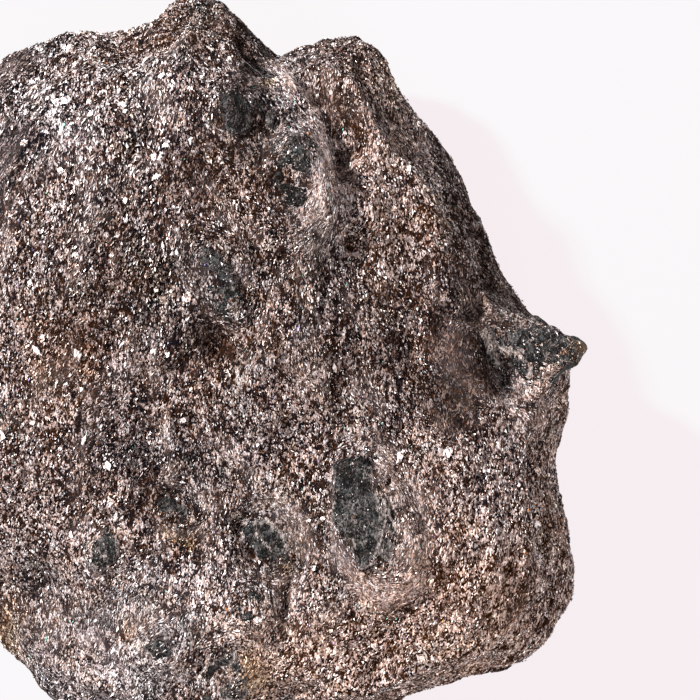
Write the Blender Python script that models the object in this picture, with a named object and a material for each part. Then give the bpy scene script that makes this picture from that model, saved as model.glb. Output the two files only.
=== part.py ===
# A hand specimen of mica schist with alexandrite crystals seated in it.
# Metres, +Z up. The block lies on its flat underside, z = 0, and the origin is under
# the middle of it. Sizes below are in millimetres, and MM turns them into metres.

import math

import bmesh
import bpy
from mathutils import Matrix, Vector, noise

SPECIMEN = "alexandrite_in_mica_schist"
MM = 0.001

# ---- driving dimensions of the block, mm ----------------------------------

# Where the block's side reaches, seen from above, anticlockwise from the east.
OUTLINE = (
    (34.1, 0.6), (33.2, 3.0), (29.4, 6.4), (26.9, 10.8), (25.7, 14.1), (23.7, 17.1),
    (21.5, 21.0), (19.4, 24.5), (16.8, 27.4), (15.0, 31.6), (13.9, 32.5), (11.7, 33.9),
    (9.0, 33.8), (6.8, 33.0), (5.2, 31.8), (4.0, 30.6), (2.9, 32.6), (1.2, 34.9),
    (-0.8, 36.7), (-3.6, 37.5), (-6.8, 36.6), (-9.2, 34.9), (-10.6, 34.2), (-12.6, 33.6),
    (-14.8, 34.2), (-18.2, 33.8), (-21.1, 32.6), (-25.6, 31.4), (-30.2, 27.6),
    (-33.6, 21.6), (-35.2, 14.0), (-35.5, 6.0), (-34.6, -3.0), (-33.4, -11.0),
    (-30.6, -18.8), (-27.0, -24.8), (-23.3, -28.5), (-21.1, -30.9), (-19.6, -33.2),
    (-15.8, -35.7), (-10.6, -37.0), (-4.3, -37.5), (3.0, -37.0), (10.4, -35.4),
    (18.4, -33.2), (23.1, -31.7), (27.3, -30.9), (29.3, -30.2), (30.9, -28.9),
    (33.7, -24.9), (34.9, -21.1), (34.1, -16.2), (32.8, -11.2), (33.2, -8.6),
    (34.3, -5.4), (34.5, -1.6),
)

LEVEL = 21.0  # mean height of the top
SHOULDER = 0.62  # share of the outline where the top begins to round off
SHOULDER_DROP = 5.0

# The flank differs from side to side. Each value is its mean and how far it strays.
CROWN = (0.90, 0.055)  # share of the outline where the top turns down into the flank
FOOT = (0.885, 0.08)  # share of the outline that the flat underside reaches
WAIST = (0.46, 0.2)  # share of the local height where the flank is widest
FLANK_TOP = 0.97  # share of the local height where the flank begins
FLANK_ROUNDING = 2.3  # 2 is a round flank, more is a flatter one with tighter edges

# Flat breaks across the flank: bearing, lean (a minus is an undercut), distance from the middle.
BREAKS = (
    (176.0, 17.0, 36.6),
    (214.0, -22.0, 31.0),
    (148.0, -14.0, 33.0),
    (262.0, 13.0, 37.8),
    (288.0, -24.0, 31.6),
    (322.0, -16.0, 38.6),
    (38.0, -20.0, 26.4),
    (98.0, -12.0, 34.8),
)

# The mica layers strike north and south and dip to the east.
LAYER_DIP = math.radians(34.0)
LAYER_PITCH = 4.2
LEDGE_DEPTH = 2.2

# Broad swells and hollows of the top: centre, reach east-west, reach north-south, height.
SWELLS = (
    ((-9.0, 12.0), 17.0, 19.0, 5.6),  # the west lobe, the highest part
    ((-4.0, 33.0), 7.0, 8.0, 2.4),  # its peak
    ((15.0, 24.0), 7.5, 11.0, -1.2),  # the east lobe lies lower
    ((19.0, -21.0), 13.0, 9.0, 1.6),  # the shelf in the south-east
    ((-20.0, -20.0), 10.0, 9.0, -2.2),  # the south-west falls away
    ((-1.6, 1.9), 2.3, 2.5, -2.7),  # deep pit beside the middle crystal
    ((28.0, -1.0), 1.7, 2.2, -1.8),  # pit under the edge crystals
    ((-23.0, -23.5), 2.6, 3.2, -2.4),  # pits by the south-west corner
    ((-18.9, -21.8), 1.3, 1.5, -1.5),
    ((28.7, -23.6), 2.2, 2.0, -1.4),  # hollow near the south-east corner
    ((6.0, 4.5), 5.5, 5.0, 1.1),
    ((-26.0, 5.0), 7.0, 9.0, -1.4),
)

# Long ridges and grooves of the top: line, half width, height.
FOLDS = (
    (((2.6, 34.0), (6.0, 27.4), (8.6, 21.8), (9.8, 15.5)), 2.1, 2.9),  # flank of the west lobe
    (((5.0, 32.0), (8.0, 26.0), (10.6, 21.4)), 1.6, -4.2),  # groove between the lobes
    (((10.8, 21.0), (11.4, 17.0), (11.4, 12.6)), 1.2, -1.9),  # where the groove runs out
    (((11.0, 32.0), (16.0, 22.5), (20.0, 13.5), (21.8, 8.0)), 2.4, 1.9),  # crest of the east lobe
    (((21.6, 18.5), (23.2, 11.0), (25.0, 4.0), (27.0, -0.8)), 1.7, -2.2),  # step inside the east edge
    (((11.4, 10.2), (16.2, 7.2), (20.2, 1.8), (22.2, -4.0)), 2.6, -2.4),  # dark scarp to the edge crystals
    (((-5.5, 9.0), (-3.5, 5.0), (-1.6, 2.4)), 1.3, -1.3),
    (((-9.5, -10.0), (-8.0, -13.5), (-6.5, -16.5)), 1.6, -1.6),  # hollow over the small crystal
    (((-15.0, -16.0), (-9.0, -15.6), (-4.0, -15.8)), 1.3, -1.1),
    (((0.5, -16.0), (4.2, -19.0), (5.6, -24.5)), 1.2, -1.7),  # crack beside the lower crystal
    (((-2.2, -27.0), (-3.6, -31.0), (-4.0, -35.0)), 1.3, -1.6),  # seat of the bottom crystal
    (((3.0, -29.0), (9.0, -31.0), (15.0, -33.0)), 2.2, 1.0),
    (((-6.4, -4.0), (-6.3, -11.0)), 1.0, 0.9),
)

# Uneven ground that the mica makes: wave length, height.
ROUGHNESS = ((13.0, 1.5), (5.2, 0.85), (2.7, 0.4))
GRAIN_STRETCH = 1.7  # the ground is drawn out along the layers, north and south

# ---- driving dimensions of the crystals, mm -------------------------------

SEAT_GAP = 0.34  # free space round a crystal in its seat
UPPER_FACE = 0.46  # radius of a crystal's upper face, where that of its lower face is 0.5
CHAMFER = 0.12  # cut on the rim of the upper face, as a share of the crystal's size
SWELL_OVER_CRYSTAL = 0.8  # how far a crystal lifts the mica round it
OPEN_ABOVE = 1.2  # how far a seat is cut free over its crystal
GROUND_REACH = 2.4  # half the distance over which the ground's slope is taken

# Each piece is one crystal or a few grown together. Of each crystal: centre, length,
# width, thickness, bearing of its length (degrees from east), plunge, roll, and how far
# its top stands over the mica round it.
CRYSTALS = {
    "main_crystal": (
        ((12.9, -14.2), 13.6, 6.6, 5.4, -77.0, 3.0, 5.0, 0.8),
        ((15.6, -15.8), 10.4, 4.6, 4.6, -72.0, 2.0, 12.0, 0.3),
    ),
    "upper_crystals": (
        ((0.6, 25.6), 6.0, 4.2, 4.0, -80.0, 0.0, -4.0, 0.0),
        ((3.9, 25.7), 5.4, 4.2, 4.0, -60.0, 0.0, 5.0, 0.0),
    ),
    "flank_crystals": (
        ((7.7, 21.1), 5.4, 4.2, 3.8, -66.0, 2.0, 5.0, 0.0),
        ((5.5, 18.2), 5.8, 4.4, 4.0, -70.0, 0.0, -4.0, 0.1),
    ),
    "middle_crystal": (((-1.7, 8.2), 10.2, 4.6, 4.2, -60.0, 0.0, 4.0, 0.0),),
    "edge_crystals": (
        ((28.6, 0.4), 9.6, 7.4, 6.0, -20.0, -6.0, 0.0, 0.6),
        ((31.9, 2.0), 7.6, 4.4, 4.4, -12.0, -14.0, 0.0, 0.3),
        ((26.2, 1.8), 5.8, 4.4, 4.4, -58.0, 0.0, -6.0, 0.3),
    ),
    "left_crystal": (((-13.0, -18.2), 5.2, 3.6, 3.4, 52.0, 0.0, 4.0, 0.15),),
    "small_crystal": (((-5.9, -14.6), 5.0, 3.8, 3.4, -62.0, 0.0, -4.0, 0.0),),
    "lower_crystal": (((3.2, -17.6), 8.4, 5.8, 4.4, -62.0, 0.0, 4.0, 0.3),),
    "lower_grain": (((2.2, -24.0), 5.4, 4.2, 3.4, -100.0, 0.0, 4.0, 0.1),),
    "bottom_crystal": (((-1.2, -31.8), 10.2, 5.4, 5.0, 62.0, 4.0, -4.0, 0.3),),
    "corner_crystal": (((-8.1, -28.4), 4.4, 3.2, 3.0, 20.0, 0.0, 4.0, 0.0),),
}

# ---- how finely the block is faceted ---------------------------------------

BLOCK_SIDES = 108
BLOCK_RINGS = 40
TOP_RINGS = 27  # rings on the top; the rest go round the side


def smooth_step(low, high, value):
    share = min(max((value - low) / (high - low), 0.0), 1.0)
    return share * share * (3.0 - 2.0 * share)


def outline_reach(x, y):
    """Distance from the middle to the outline, in the direction of a point."""
    bearing = math.atan2(y, x) % math.tau
    count = len(OUTLINE)
    for start in range(count):
        first, last = OUTLINE[start], OUTLINE[(start + 1) % count]
        low = math.atan2(first[1], first[0])
        turn = (math.atan2(last[1], last[0]) - low) % math.tau
        along = (bearing - low) % math.tau
        if along <= turn:
            share = along / turn
            return math.hypot(*first) * (1.0 - share) + math.hypot(*last) * share
    return math.hypot(*OUTLINE[0])


def distance_to_line(x, y, line):
    nearest = math.inf
    for (ax, ay), (bx, by) in zip(line, line[1:]):
        along_x, along_y = bx - ax, by - ay
        share = ((x - ax) * along_x + (y - ay) * along_y) / (along_x**2 + along_y**2)
        share = min(max(share, 0.0), 1.0)
        nearest = min(nearest, math.hypot(x - ax - share * along_x, y - ay - share * along_y))
    return nearest


def lift_over_crystals(x, y):
    """The mica layers bend over the crystals, so the ground swells round each one."""
    lift = 0.0
    for grown_together in CRYSTALS.values():
        for (cx, cy), length, width, _, bearing, *_ in grown_together:
            turn = math.radians(bearing)
            along = (x - cx) * math.cos(turn) + (y - cy) * math.sin(turn)
            across = (y - cy) * math.cos(turn) - (x - cx) * math.sin(turn)
            spread = (along / (0.62 * length)) ** 2 + (across / (0.8 * width)) ** 2
            lift = max(lift, SWELL_OVER_CRYSTAL * math.exp(-spread))
    return lift


def unevenness(x, y):
    total = 0.0
    for wave, height in ROUGHNESS:
        place = Vector((x / wave, y / (wave * GRAIN_STRETCH), wave))
        total += height * noise.noise(place)
    return total


def top_height(x, y):
    """Height of the block's top over its underside."""
    height = LEVEL
    for (cx, cy), reach_x, reach_y, rise in SWELLS:
        height += rise * math.exp(-(((x - cx) / reach_x) ** 2) - ((y - cy) / reach_y) ** 2)
    for line, half_width, rise in FOLDS:
        height += rise * math.exp(-((distance_to_line(x, y, line) / half_width) ** 2))
    height += lift_over_crystals(x, y) + unevenness(x, y)
    share = math.hypot(x, y) / outline_reach(x, y)
    return height - SHOULDER_DROP * smooth_step(SHOULDER, 1.0, share)


def ledges(x, y, z):
    """How far the side is cut back where the layers have broken off in steps."""
    across = x * math.sin(LAYER_DIP) + z * math.cos(LAYER_DIP)
    wander = 1.6 * noise.noise(Vector((x / 9.0, y / 9.0, z / 9.0)))
    step = ((across + wander) / LAYER_PITCH) % 1.0
    lumps = 0.5 + 0.5 * noise.noise(Vector((x / 6.0, y / 6.0, z / 5.0 + 7.0)))
    return LEDGE_DEPTH * (0.55 * step + 0.9 * lumps)


def round_the_flank(mean_and_stray, bearing, seed):
    """A value that strays smoothly from its mean on the way round the block."""
    mean, stray = mean_and_stray
    place = Vector((1.7 * math.cos(bearing), 1.7 * math.sin(bearing), seed))
    return mean + stray * 1.6 * noise.noise(place)


def broken_off(x, y, z):
    """The point itself, or where it lies on the flat break that has taken it off."""
    for bearing, lean, distance in BREAKS:
        east, north = math.cos(math.radians(bearing)), math.sin(math.radians(bearing))
        lean = math.radians(lean)
        beyond = (x * east + y * north) * math.cos(lean) + z * math.sin(lean) - distance
        if beyond > 0.0:
            x -= beyond / math.cos(lean) * east
            y -= beyond / math.cos(lean) * north
    return x, y, z


def block_point(ring, bearing):
    """Place of a point of the block, from its ring (0 at the top, 1 underneath) and bearing."""
    east, north = math.cos(bearing), math.sin(bearing)
    reach = outline_reach(east, north)
    crown = round_the_flank(CROWN, bearing, 3.0)
    turn_down = TOP_RINGS / BLOCK_RINGS
    if ring <= turn_down:
        share = crown * ring / turn_down
        x, y = share * reach * east, share * reach * north
        return x, y, top_height(x, y)
    foot = round_the_flank(FOOT, bearing, 8.0)
    waist = round_the_flank(WAIST, bearing, 5.0)
    fall = min((ring - turn_down) / (1.0 - turn_down - 1.0 / BLOCK_RINGS), 1.0)
    rim = top_height(crown * reach * east, crown * reach * north)
    height = FLANK_TOP * (1.0 - fall)
    if height > waist:
        away, narrowing = (height - waist) / (1.0 - waist), 1.0 - crown
    else:
        away, narrowing = (waist - height) / waist, 1.0 - foot
    share = 1.0 - narrowing * away**FLANK_ROUNDING
    cut = ledges(reach * east, reach * north, height * rim) * smooth_step(0.1, 0.6, away)
    distance = share * reach - cut
    return broken_off(distance * east, distance * north, height * rim)


def material(name, colour, roughness, metallic=0.0):
    made = bpy.data.materials.new(name)
    made.use_nodes = True
    shader = made.node_tree.nodes["Principled BSDF"]
    shader.inputs["Base Color"].default_value = (*colour, 1.0)
    shader.inputs["Roughness"].default_value = roughness
    shader.inputs["Metallic"].default_value = metallic
    return made


def add_object(name, mesh_data, collection, finish=None):
    mesh = bpy.data.meshes.new(name)
    mesh_data.to_mesh(mesh)
    mesh_data.free()
    made = bpy.data.objects.new(name, mesh)
    collection.objects.link(made)
    if finish:
        mesh.materials.append(finish)
    return made


def add_boolean(target, tool, operation):
    cut = target.modifiers.new(tool.name, "BOOLEAN")
    cut.operation = operation
    cut.solver = "EXACT"
    cut.object = tool


def schist_block(collection):
    """A sphere drawn out to the block: its upper rings are the top, its lower rings the side."""
    shape = bmesh.new()
    bmesh.ops.create_uvsphere(shape, u_segments=BLOCK_SIDES, v_segments=BLOCK_RINGS, radius=1.0)
    for vertex in shape.verts:
        ring = math.acos(min(max(vertex.co.z, -1.0), 1.0)) / math.pi
        if ring > 1.0 - 0.5 / BLOCK_RINGS:
            vertex.co = Vector((0.0, 0.0, 0.0))
            continue
        bearing = math.atan2(vertex.co.y, vertex.co.x)
        vertex.co = Vector(block_point(ring, bearing)) * MM
    bmesh.ops.recalc_face_normals(shape, faces=shape.faces)
    finish = material("mica_schist", (0.13, 0.10, 0.085), 0.5)
    return add_object("mica_schist", shape, collection, finish)


def crystal_shape(size, extra=0.0):
    """A six-sided plate drawn out along X, its upper rim cut off, with an extra layer all round."""
    length, width, thickness = size
    shape = bmesh.new()
    bmesh.ops.create_cone(shape, segments=6, radius1=0.5, radius2=UPPER_FACE, depth=1.0, cap_ends=True)
    rim = [edge for edge in shape.edges if all(vertex.co.z > 0.0 for vertex in edge.verts)]
    bmesh.ops.bevel(shape, geom=rim, offset=CHAMFER, offset_type="OFFSET", segments=1, affect="EDGES")
    full = Vector((length + 2.0 * extra, width + 2.0 * extra, thickness + 2.0 * extra)) * MM
    bmesh.ops.scale(shape, verts=shape.verts, vec=full)
    return shape


def ground_normal(x, y):
    """Upward direction of the ground that a crystal lies in, taken across a few millimetres."""
    reach = GROUND_REACH
    slope_x = (top_height(x + reach, y) - top_height(x - reach, y)) / (2.0 * reach)
    slope_y = (top_height(x, y + reach) - top_height(x, y - reach)) / (2.0 * reach)
    return Vector((-slope_x, -slope_y, 1.0)).normalized()


def crystal_place(centre, thickness, bearing, plunge, roll, proud):
    x, y = centre
    up = ground_normal(x, y)
    middle = Vector((x, y, top_height(x, y))) + up * (proud - thickness / 2.0)
    lie = Vector((0.0, 0.0, 1.0)).rotation_difference(up).to_matrix().to_4x4()
    turn = Matrix.Rotation(math.radians(bearing), 4, "Z")
    dip = Matrix.Rotation(math.radians(plunge), 4, "Y")
    lean = Matrix.Rotation(math.radians(roll), 4, "X")
    return Matrix.Translation(middle * MM) @ lie @ turn @ dip @ lean


def set_crystals(name, grown_together, block, collection, cutters, finish):
    """One piece of one or more crystals, and the seats that it needs in the block."""
    piece = None
    for number, (centre, length, width, thickness, *lie) in enumerate(grown_together):
        *turns, proud = lie
        body = crystal_shape((length, width, thickness))
        body.transform(crystal_place(centre, thickness, *turns, proud))
        depth = thickness + OPEN_ABOVE
        seat = crystal_shape((length, width, depth), SEAT_GAP)
        seat.transform(crystal_place(centre, depth, *turns, proud + OPEN_ABOVE))
        cutter = add_object(f"{name}_seat_{number}", seat, cutters)
        add_boolean(block, cutter, "DIFFERENCE")
        if piece is None:
            piece = add_object(name, body, collection, finish)
        else:
            add_boolean(piece, add_object(f"{name}_twin_{number}", body, cutters), "UNION")


def stand_on_origin(objects):
    """Moves everything alike, so that the middle of the specimen's box stands over the origin."""
    bpy.context.view_layer.update()
    graph = bpy.context.evaluated_depsgraph_get()
    corners = [
        made.matrix_world @ Vector(corner)
        for made in objects
        if made.display_type != "WIRE"
        for corner in made.evaluated_get(graph).bound_box
    ]
    middle_x = (min(c.x for c in corners) + max(c.x for c in corners)) / 2.0
    middle_y = (min(c.y for c in corners) + max(c.y for c in corners)) / 2.0
    for made in objects:
        made.location -= Vector((middle_x, middle_y, 0.0))


def build():
    for old in list(bpy.data.objects):
        bpy.data.objects.remove(old)
    specimen = bpy.data.collections.new(SPECIMEN)
    cutters = bpy.data.collections.new("cutters")
    bpy.context.scene.collection.children.link(specimen)
    bpy.context.scene.collection.children.link(cutters)
    block = schist_block(specimen)
    for name, grown_together in CRYSTALS.items():
        finish = material(name, (0.045, 0.06, 0.062), 0.35)
        set_crystals(name, grown_together, block, specimen, cutters, finish)
    for cutter in cutters.objects:
        cutter.hide_render = True
        cutter.display_type = "WIRE"
    stand_on_origin(list(specimen.objects) + list(cutters.objects))


build()
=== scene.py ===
import math

import bmesh
import bpy
import numpy as np
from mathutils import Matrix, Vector
from mathutils.bvhtree import BVHTree


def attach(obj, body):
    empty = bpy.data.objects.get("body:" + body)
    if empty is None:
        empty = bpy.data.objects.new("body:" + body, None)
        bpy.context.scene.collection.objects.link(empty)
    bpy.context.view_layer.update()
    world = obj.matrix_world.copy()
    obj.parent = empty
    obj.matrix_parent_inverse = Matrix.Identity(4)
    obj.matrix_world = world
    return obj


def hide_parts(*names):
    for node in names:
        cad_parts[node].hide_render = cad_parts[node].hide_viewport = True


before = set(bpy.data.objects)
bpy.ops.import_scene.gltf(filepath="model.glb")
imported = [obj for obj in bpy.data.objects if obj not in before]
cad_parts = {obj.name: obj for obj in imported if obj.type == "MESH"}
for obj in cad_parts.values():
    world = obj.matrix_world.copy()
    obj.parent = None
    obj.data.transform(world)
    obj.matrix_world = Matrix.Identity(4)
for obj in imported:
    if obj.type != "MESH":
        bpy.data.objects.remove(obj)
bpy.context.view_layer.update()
print("frame loaded,", len(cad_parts), "solids")

mm = 0.001
fullTurn = math.tau
draw = np.random.default_rng(2611)
latticeSize = 48
lattice = np.random.default_rng(97).uniform(-1, 1, (latticeSize, latticeSize, latticeSize))
latticeTurn = np.linalg.qr(np.random.default_rng(5).normal(size=(3, 3)))[0]  # no noise runs along an axis
seedStep = 11.7  # how far apart the seeds of the noise lie in the lattice
layerDip = math.radians(34)  # the mica layers dip to the east
layerUp = np.array([math.sin(layerDip), 0, math.cos(layerDip)])


def smoothStep(low, high, value):
    share = np.clip((value - low) / (high - low), 0, 1)
    return share * share * (3 - 2 * share)


def wavyNoise(places, wave, seed=0):
    # smooth noise from -1 to 1; everything here is in mm
    scaled = places @ latticeTurn / wave + seedStep * seed
    base = np.floor(scaled).astype(int)
    part = scaled - base
    part = part * part * (3 - 2 * part)
    total = np.zeros(len(places))
    for corner in range(8):
        step = np.array([corner & 1, corner >> 1 & 1, corner >> 2])
        weight = np.prod(np.where(step, part, 1 - part), axis=1)
        cell = (base + step) % latticeSize
        total += weight * lattice[cell[:, 0], cell[:, 1], cell[:, 2]]
    return total


def unit(vectors):
    return vectors / np.maximum(np.linalg.norm(vectors, axis=1, keepdims=True), 1e-12)


def arraysOf(mesh):
    places = np.empty(len(mesh.vertices) * 3)
    mesh.vertices.foreach_get("co", places)
    mesh.calc_loop_triangles()
    faces = np.empty(len(mesh.loop_triangles) * 3, np.int32)
    mesh.loop_triangles.foreach_get("vertices", faces)
    return places.reshape(-1, 3) / mm, faces.reshape(-1, 3)


def vertexNormals(places, faces):
    a, b, c = (places[faces[:, corner]] for corner in range(3))
    faceNormals = np.cross(b - a, c - a)
    normals = np.zeros_like(places)
    for corner in range(3):
        for axis in range(3):
            normals[:, axis] += np.bincount(faces[:, corner], faceNormals[:, axis], len(places))
    return unit(normals)


def smoothed(values, faces, rounds, share=0.5):
    # each round moves a value part of the way to the mean of its neighbours
    start = faces[:, [0, 1, 2]].ravel()
    end = faces[:, [1, 2, 0]].ravel()
    count = np.maximum(np.bincount(start, minlength=len(values)), 1)
    for _ in range(rounds):
        columns = [np.bincount(start, values[end, axis], len(values)) for axis in range(values.shape[1])]
        values = values + share * (np.stack(columns, 1) / count[:, None] - values)
    return values


def softNormals(places, faces, rounds):
    return unit(smoothed(vertexNormals(places, faces), faces, rounds))


def finer(values, faces, chosen):
    # splits the edges between chosen points, so that a face becomes four or two, or stays
    edges = np.sort(faces[:, [0, 1, 1, 2, 2, 0]].reshape(-1, 2), axis=1)
    split = chosen[edges].all(1)
    pairs, number = np.unique(edges[split], axis=0, return_inverse=True)
    middle = np.full(len(edges), -1)
    middle[split] = len(values) + number.ravel()
    middle = middle.reshape(-1, 3)
    values = np.concatenate([values, values[pairs].mean(1)])
    count = (middle >= 0).sum(1)
    a, b, c = faces[count == 3].T
    ab, bc, ca = middle[count == 3].T
    made = [faces[count == 0]]
    made += [np.stack(corners, 1) for corners in ((a, ab, ca), (ab, b, bc), (ca, bc, c), (ab, bc, ca))]
    for side in range(3):
        rows = (count == 1) & (middle[:, side] >= 0)
        halfway = middle[rows, side]
        a, b, c = faces[rows][:, [side, (side + 1) % 3, (side + 2) % 3]].T
        made += [np.stack((a, halfway, c), 1), np.stack((halfway, b, c), 1)]
    return values, np.concatenate(made)


def finerOnTop(values, faces, least):
    # splits the edges that face up more than this, and evens out what is made; places come first in values
    level = smoothed(vertexNormals(values[:, :3], faces), faces, 2)[:, 2]
    values, faces = finer(values, faces, level > least)
    return smoothed(values, faces, 2), faces


def meshOf(name, places, faces, smooth=False):
    mesh = bpy.data.meshes.new(name)
    mesh.vertices.add(len(places))
    mesh.vertices.foreach_set("co", (places * mm).ravel())
    mesh.loops.add(faces.size)
    mesh.loops.foreach_set("vertex_index", faces.astype(np.int32).ravel())
    mesh.polygons.add(len(faces))
    mesh.polygons.foreach_set("loop_start", np.arange(0, faces.size, faces.shape[1], dtype=np.int32))
    mesh.update(calc_edges=True)
    mesh.polygons.foreach_set("use_smooth", np.full(len(faces), smooth))
    return mesh


def setPointVector(mesh, name, vectors):
    layer = mesh.attributes.new(name, "FLOAT_VECTOR", "POINT")
    layer.data.foreach_set("vector", vectors.astype(np.float32).ravel())


def newObject(name, data):
    made = bpy.data.objects.new(name, data)
    bpy.context.scene.collection.objects.link(made)
    return made


def dress(name, mesh, material, slot, *nodes):
    piece = newObject(name, mesh)
    mesh.materials.append(material)
    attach(piece, "root")
    if nodes:
        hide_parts(*nodes)


# for each crystal: its piece, the bearing of the side where the mica laps over it, how much film lies on it,
# how strongly the mica wraps round it, how rough it is, how far the rock under the flakes lies back to bare
# it, how much less where the mica laps, and how many grains stick to it
crystalTerms = ("piece", "filmSide", "film", "wrap", "rough", "bare", "lap", "grains")
crystalRows = {
    "main_crystal": ("main_alexandrite", -12, 0.75, 0.95, 0.6, 0.62, 0.27, 0.45),
    "upper_crystals": ("upper_alexandrites", 20, 0.4, 0.3, 1.2, 0.46, 0.1, 1.3),
    "flank_crystals": ("flank_alexandrites", 50, 0.35, 0.55, 1.2, 0.46, 0.2, 1.0),
    "middle_crystal": ("middle_alexandrite", 200, 0.4, 0.2, 1.2, 0.44, 0.1, 1.2),
    "edge_crystals": ("edge_alexandrites", 200, 0.9, 0.4, 1.2, 0.5, 0.2, 1.4),
    "left_crystal": ("left_alexandrite", -50, 0.85, 0.5, 1.0, 0.5, 0.1, 0.7),
    "small_crystal": ("small_alexandrite", -60, 0.6, 0.75, 0.8, 0.48, 0.15, 0.6),
    "lower_crystal": ("lower_alexandrite", 10, 0.95, 0.8, 1.0, 0.48, 0.25, 0.7),
    "lower_grain": ("lower_alexandrite_grain", -90, 0.9, 0.4, 1.2, 0.44, 0.1, 1.0),
    "bottom_crystal": ("bottom_alexandrite", 0, 0.75, 0.5, 1.2, 0.48, 0.2, 0.6),
    "corner_crystal": ("corner_alexandrite", -60, 0.5, 0.3, 1.2, 0.44, 0.1, 1.0),
}
crystals = {node: dict(zip(crystalTerms, row)) for node, row in crystalRows.items()}


def measureCrystals():
    # the middle of each solid, the way that it is longest, and half its length and width
    for node, crystal in crystals.items():
        spots = arraysOf(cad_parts[node].data)[0]
        flat = spots[:, :2] - spots[:, :2].mean(0)
        long = np.linalg.eigh(flat.T @ flat)[1][:, 1]
        crystal["centre"] = (spots.max(0) + spots.min(0))[:2] / 2
        crystal["along"] = long
        crystal["halfLength"] = np.ptp(flat @ long) / 2
        crystal["halfWidth"] = np.ptp(flat @ np.array([-long[1], long[0]])) / 2


measureCrystals()


def roundCrystal(crystal, places):
    # 0 in the middle of a crystal, 1 on the ellipse about it, and the offsets along and across it
    away = places[:, :2] - crystal["centre"]
    along = away @ crystal["along"]
    across = away @ np.array([-crystal["along"][1], crystal["along"][0]])
    return np.hypot(along / crystal["halfLength"], across / crystal["halfWidth"]), along, across


def towardFilm(crystal, places):
    # how far a place lies to the side of the crystal where the mica laps over it, in half widths
    side = math.radians(crystal["filmSide"])
    away = places[:, :2] - crystal["centre"]
    return away @ np.array([math.cos(side), math.sin(side)]) / crystal["halfWidth"]


def bareCrystal(places):
    # how far the rock lies back to bare a crystal, 0 where the mica covers it
    bare = np.zeros(len(places))
    waves = ((1.7, 0.24), (0.8, 0.2), (0.4, 0.16))  # wave, height
    wander = sum(height * wavyNoise(places, wave, 11 + k) for k, (wave, height) in enumerate(waves))
    for crystal in crystals.values():
        rho = roundCrystal(crystal, places)[0] + crystal["lap"] * towardFilm(crystal, places) + wander
        bare = np.maximum(bare, crystal["bare"] * (1 - smoothStep(0.52, 0.92, rho)))
    return bare


# place, reach in mm, and the bearing of the grain in degrees from east
grainRuns = (
    ((-30, 20), 12, 72), ((-21, 27), 8, 64), ((-21, 7), 9, 63), ((-21, -5), 8, 79), ((-21, -21), 8, 82),
    ((-13, 23), 6, 96), ((-13, 14), 6, 58), ((-9, 7), 6, 96), ((-13, -1), 6, 76), ((-9, -9), 6, 67),
    ((-5, 11), 5, 104), ((6.5, 13), 4, 32), ((3, 6), 4, 78), ((10.5, 12), 4, 72), ((10.5, 1), 6, 116),
    ((6.5, -7), 6, 115), ((0.5, -11), 5, 125), ((17, -7), 5, 113), ((17, 1), 6, 118), ((21, 7), 5, 104),
    ((21, 17), 6, 112), ((11, 22), 4, 96), ((15, 27), 5, 101), ((3, 27), 4, 111), ((3, 19), 4, 138),
    ((31, 3), 4, 143), ((27, -5), 4, 120), ((23, -13), 5, 80), ((31, -19), 6, 92), ((17, -25), 6, 62),
    ((27, -27), 5, 75), ((11, -29), 6, 47), ((-1, -23), 5, 73), ((-9, -21), 5, 46), ((-17, -25), 6, 66),
)


def grainBearing(places):
    turnX, turnY = np.zeros(len(places)), np.zeros(len(places))
    for (x, y), reach, bearing in grainRuns:
        weight = np.exp(-((places[:, 0] - x) ** 2 + (places[:, 1] - y) ** 2) / reach**2) + 1e-5
        turnX += weight * math.cos(math.radians(2 * bearing))
        turnY += weight * math.sin(math.radians(2 * bearing))
    stray = 0.35 * wavyNoise(places, 3.1, 5) + 0.25 * wavyNoise(places, 1.3, 6)
    bearing = np.arctan2(turnY, turnX) / 2 + stray
    for crystal in crystals.values():
        # the grain bends round each crystal: along the edge of the ellipse about it
        rho, along, across = roundCrystal(crystal, places)
        edgeX, edgeY = -across / crystal["halfWidth"] ** 2, along / crystal["halfLength"] ** 2
        around = np.arctan2(edgeY, edgeX) + math.atan2(crystal["along"][1], crystal["along"][0])
        turn = (around - bearing + math.pi / 2) % math.pi - math.pi / 2
        bearing = bearing + np.exp(-(((rho - 1.1) / 0.42) ** 2)) * turn
    return bearing


def streaked(places, bearing, wave, seed, reach):
    # noise drawn out along the run of the mica
    way = np.stack([np.cos(bearing), np.sin(bearing), 0 * bearing], 1)
    steps, balance = np.linspace(-reach, reach, 7), 3.6  # the steps partly cancel each other
    return sum(wavyNoise(places + step * way, wave, seed) for step in steps) / balance


def clumps(places, bearing):
    # patches of close and loose mica, from about -1 to 1
    waves = ((0.5, 0.3, 0.9), (1.1, 0.26, 1.6), (2.4, 0.4, 3.0))  # wave, height, reach along
    patch = sum(height * streaked(places, bearing, wave, 81, reach) for wave, height, reach in waves)
    return np.tanh(1.2 * patch) * (0.6 + 0.4 * coarseness(places))


def sheets(places):
    # the same along a mica layer, and changing quickly from layer to layer
    across = places @ layerUp + 0.7 * wavyNoise(places, 6.0, 24) + 0.25 * wavyNoise(places, 2.0, 25)
    return np.stack([places[:, 0] / 9, places[:, 1] / 9, across], 1)


def lineWeight(places, points, width):
    # 1 on a line through these points, less away from it
    nearest = np.full(len(places), 1e6)
    for start, end in zip(points[:-1], points[1:]):
        start, step = np.array(start), np.subtract(end, start)
        share = np.clip((places[:, :2] - start) @ step / (step @ step), 0, 1)
        nearest = np.minimum(nearest, np.linalg.norm(places[:, :2] - start - share[:, None] * step, axis=1))
    return np.exp(-((nearest / width) ** 2))


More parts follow.
